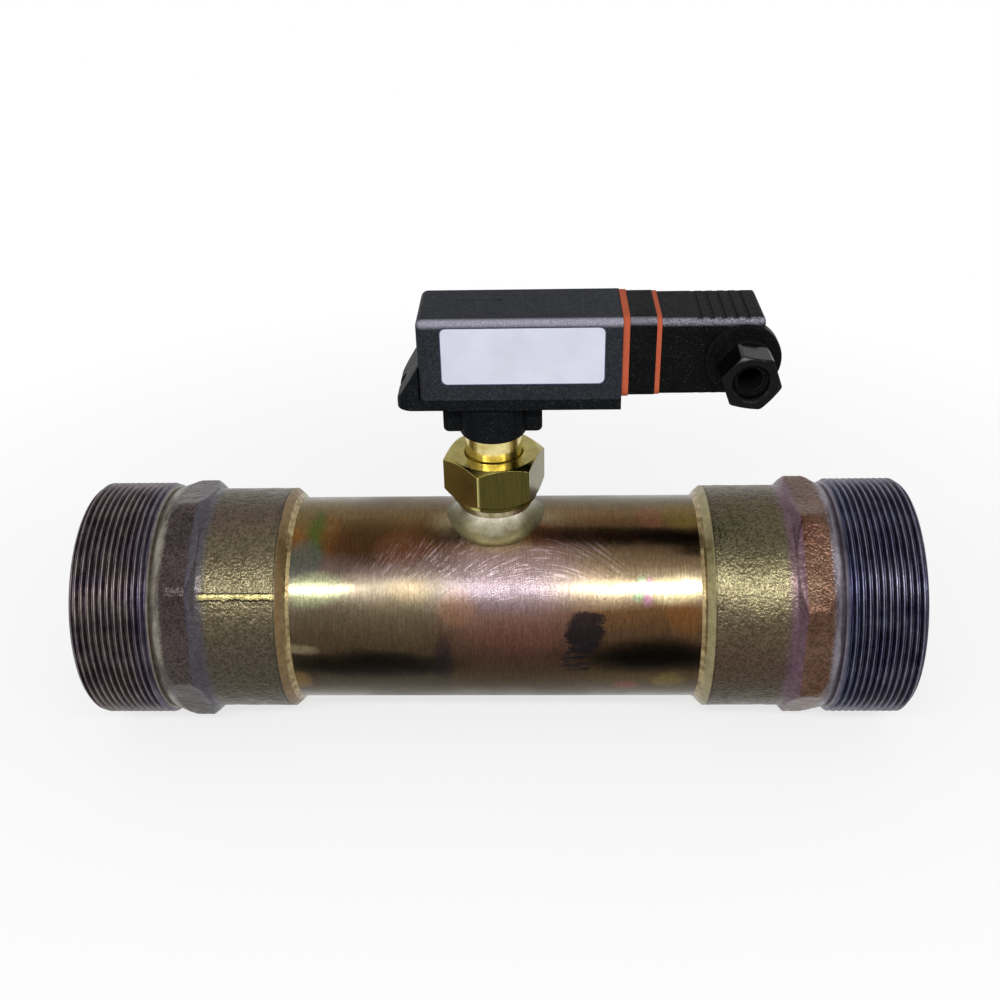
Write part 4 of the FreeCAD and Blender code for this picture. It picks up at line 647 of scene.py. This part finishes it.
finishes = {   # of the nodes that have one of their own
    "measuring_tube": tarnished_tube(),
    "inlet_adapter": cast_metal("cast_gunmetal_inlet", INLET_SKIN, False),
    "outlet_adapter": cast_metal("cast_gunmetal_outlet", OUTLET_SKIN, True),
    "branch_boss": turned_metal("tinned_boss", (190, 182, 150), (140, 128, 90), 0.2),
    # the nut's sides get painted light and shade through dull
    "union_nut": turned_metal("nut_brass", (160, 148, 84), (130, 118, 58), 0.15, 0.15, 0.004,
                              edge=0.35, grain=(1, 1, 40),
                              dull=((70, 66, 30), (86, 78, 40), (192, 184, 118), (112, 104, 56))),
    "switch_sleeve": turned_metal("sleeve_brass", (232, 218, 156), (196, 178, 104), 0.16, 0.15,
                                  0.004),
    "union_gasket": moulded("fibre_sheet", (150, 120, 84), (110, 84, 54), 0.5, 0.05, 0.6, 0.8),
    "housing_base": moulded("housing_plastic_base", (20, 22, 25), (32, 33, 33), edge=0.4),
    # the cover, connector and plug get a painted highlight along their front top edges
    "housing_cover": moulded("housing_plastic", (44, 46, 52), (52, 52, 52), edge=0.4,
                             painted_light=(-15, 118.5, 3.0, 0.62)),
    "rating_label": bare_label(),
    "base_gasket": moulded("silicone_red", (178, 88, 62), (158, 74, 50), 0.5, 0.02, 0.4, 0.55,
                           edge=0.3, specks=0.08),
    "connector_base": moulded("connector_plastic", (15, 17, 16), (26, 27, 24), 0.3, edge=0.5,
                              painted_light=(-14.1, 118.5, 2.8, 0.5)),
    "plug_housing": moulded("plug_plastic", (15, 17, 16), (26, 27, 24), 0.3, 0.02, 0.30, 0.42,
                            edge=0.5, painted_light=(-13.75, 117.8, 2.6, 0.3)),
    "gland_nut": moulded("gland_plastic", (5, 5, 5), (11, 11, 11), 0.3, 0.004, 0.08, 0.14,
                         shine=0.1, edge=0.8, specks=0.1),
    "reed_carriage": moulded("inner_plastic", (196, 190, 172), (160, 150, 130)),
    "reed_switch": clear_glass(),
    "gland_seal": moulded("seal_rubber", (24, 24, 26), (44, 44, 44), 0.4, 0.02, 0.3, 0.45),
    "contact_pins": turned_metal("tinned_brass", (206, 206, 204), (150, 150, 150), 0.22),
    "lever_magnet": turned_metal("magnet_nickel", (170, 170, 172), (100, 100, 104), 0.2),
    "inlet_solder": solder_metal("soft_solder", (112, 92, 62), (168, 152, 112)),
    "branch_braze": braze_metal(),
}
shared = {   # finishes of all other nodes, by their slot
    "brass": turned_metal("turned_brass", (176, 160, 88), (98, 90, 34)),
    "steel": turned_metal("stainless_steel", (198, 196, 192), (140, 136, 130), 0.26, 0.2, 0.02),
    "solder": finishes["inlet_solder"], "magnet": finishes["lever_magnet"],
    "silicone": finishes["base_gasket"], "connector_plastic": finishes["connector_base"],
}
slot_of = {name: node.data.materials[0].name for name, node in nodes.items()}
for name, node in nodes.items():
    node.data.materials[0] = finishes.get(name) or shared[slot_of[name]]

# ---------------------------------------------------------------- pieces of the scene's own


def add_piece(name, points, faces, node, body="fitting", sharp=32):
    """A piece of this scene that stands for a CAD node."""
    mesh = bpy.data.meshes.new(name)
    mesh.from_pydata(points, [], faces)
    mesh.validate()
    piece = bpy.data.objects.new(name, mesh)
    scene.collection.objects.link(piece)
    mesh.materials.append(finishes[node])
    mesh.polygons.foreach_set("use_smooth", [True] * len(mesh.polygons))
    mesh.set_sharp_from_angle(angle=math.radians(sharp))
    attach(piece, body)
    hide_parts(node)


def ring_faces(stations, around, flip):
    """The quads of a closed tube of rings, the last joined to the first."""
    faces = []
    for i in range(stations):
        a, b = i * around, (i + 1) % stations * around
        for j in range(around):
            k = (j + 1) % around
            quad = (a + j, a + k, b + k, b + j)
            faces.append(quad[::-1] if flip else quad)
    return faces


def soft_least(values, blend):
    """The least of several arrays, with the corners between them rounded."""
    total = sum(np.exp(-v / blend) for v in values)
    return -blend * np.log(total)


def value_noise(x, y, z, seed=0.0):
    """Blender's own noise, -1 to 1, at every place of three arrays."""
    place = [Vector(p) for p in np.stack((x + seed, y, z), -1).reshape(-1, 3).tolist()]
    return np.array([noise.noise(p) for p in place]).reshape(x.shape)


def adapter_outside(x, turn, helix_turn, first_corner, seam):
    """The outside radius at x mm from the end face and turn radians up from the front.

    seam is how high the parting seam stands out.
    """
    from_root = np.abs((x / PITCH + 1.25 + helix_turn / (2 * math.pi) + 0.5) % 1 - 0.5) * PITCH
    climb = np.clip((from_root - ROOT_HALF) / FLANK, 0, 1)
    thread = THREAD_TOP - THREAD_DEPTH * (1 - climb)
    thread = np.minimum(thread, THREAD_START + x)
    thread = np.minimum(thread, THREAD_TOP - (x - THREAD_END))
    thread = np.maximum(thread, RUN_OUT)
    side = math.radians(45)
    part = (turn - first_corner - side / 2) % side
    part = np.where(part > side / 2, part - side, part)
    octagon = FLATS / np.cos(part)
    front = RELIEF + (x - RELIEF_END) * (CORNER - RELIEF) / FRONT_SLOPE
    rear = CUP + (OCTAGON_END - x) * (CORNER - CUP) / REAR_SLOPE
    block = soft_least([octagon, front, rear, np.full_like(x, CORNER + 0.2)], 0.16)
    cup_end = CUP - np.clip(x - CUP_END, 0, None) * (CUP - MOUTH) / (MOUTH_X - CUP_END)
    cup = cup_end - GROOVE_DEPTH * np.exp(-((x - GROOVE_X) / 0.35) ** 2)
    body = np.where(x < CUP_START, block, np.maximum(block, cup))
    y, z = -np.cos(turn) * CUP, np.sin(turn) * CUP
    cast = np.clip((x - CAST_FROM) / 1.2, 0, 1) * np.clip((CAST_TO - x) / 0.8, 0, 1)
    pebble = value_noise(x / 1.7, y / 1.7, z / 1.7, seam) * 0.10
    lumps = value_noise(x / 7, y / 7, z / 7, seam + 9) * 0.14
    body = body + cast * (pebble + lumps - SKIN_DEPTH)
    for place in (math.radians(SEAM), math.radians(SEAM + 180)):
        off = (turn - place + math.pi) % (2 * math.pi) - math.pi
        ragged = value_noise(x / 2.2, y * 0 + place, z * 0, 4.0) * 0.35
        ridge = np.exp(-((off * CUP + ragged) / 0.9) ** 4)
        body = body + seam * ridge * np.clip((x - 44.0) / 1.5, 0, 1) * np.clip(
            (CAST_TO - x) / 0.6, 0, 1)
    body = np.where(x > CUP_END, cup_end, body)
    return np.where(x < RUN_OUT_END, thread, body)


def make_adapter(name, node, mirrored, first_corner, seam):
    """An adapter with its thread, its octagon and its cast skin; first_corner is in degrees."""
    around = 400
    turn = np.linspace(0, 2 * math.pi, around, endpoint=False)
    x = np.concatenate((np.arange(0, RUN_OUT_END, PITCH / 14), np.arange(RUN_OUT_END, 45.5, 0.4),
                        np.arange(45.5, CAST_TO, 0.55),
                        [CAST_TO, 72.2, GROOVE_X, 72.6, 72.8, CUP_END, 74.2, MOUTH_X]))
    xs, turns = np.meshgrid(x, turn, indexing="ij")
    helix_turn = math.pi - turns if mirrored else turns
    radius = adapter_outside(xs, turns, helix_turn, math.radians(first_corner), seam)
    inside = [(MOUTH_X, MOUTH - 0.7), (MOUTH_X, SOCKET), (58, SOCKET), (BORE_END, SOCKET),
              (BORE_END, BORE), (21, BORE), (0.8, BORE), (0, BORE + 0.8), (0, 40.5)]
    xs = np.vstack((xs, np.repeat([[p[0]] for p in inside], around, 1)))
    turns = np.vstack((turns, np.tile(turn, (len(inside), 1))))
    radius = np.vstack((radius, np.repeat([[p[1]] for p in inside], around, 1)))
    if mirrored:
        xs = LENGTH - xs
    points = np.stack((xs, -radius * np.cos(turns), radius * np.sin(turns)), -1) * MM
    add_piece(name, points.reshape(-1, 3).tolist(), ring_faces(len(xs), around, mirrored), node)


def make_saddle():
    """The braze, drawn up round the foot of the branch and run out thin on the tube."""
    around, steps = 160, 18
    turn = np.linspace(0, 2 * math.pi, around, endpoint=False)
    share = np.linspace(0, 1, steps)
    shares, turns = np.meshgrid(share, turn, indexing="ij")
    wander = value_noise(np.cos(turns) * 1.6, np.sin(turns) * 1.6, turns * 0, 3.0)
    foot = np.hypot(SADDLE_ALONG * np.cos(turns), SADDLE_ACROSS * np.sin(turns)) + wander * 1.3
    out = SADDLE_TOP + (foot - SADDLE_TOP) * shares
    across, depth = out * np.cos(turns), out * np.sin(turns)
    tube = np.sqrt(TUBE ** 2 - depth ** 2)
    start = np.sqrt(TUBE ** 2 - (SADDLE_TOP * np.sin(turns)) ** 2)
    rise = (SADDLE_HEIGHT - start) * (1 - shares) ** 2.0
    lumps = value_noise(across / 3.2, depth / 3.2, tube * 0, 8.0) * 0.16 * np.sin(math.pi * shares)
    height = tube + rise + lumps - 0.03
    outer = np.stack((BRANCH_X + across, depth, height), -1)
    under = np.stack((BRANCH_X + across, depth, tube - 0.5), -1)[[-1, 0]]
    points = np.concatenate((outer, under)) * MM
    add_piece("branch_braze_saddle", points.reshape(-1, 3).tolist(),
              ring_faces(steps + 2, around, False), "branch_braze")


make_saddle()
make_adapter("inlet_adapter_body", "inlet_adapter", False, 37.3, 0.32)
make_adapter("outlet_adapter_body", "outlet_adapter", True, 27.3, 0.0)
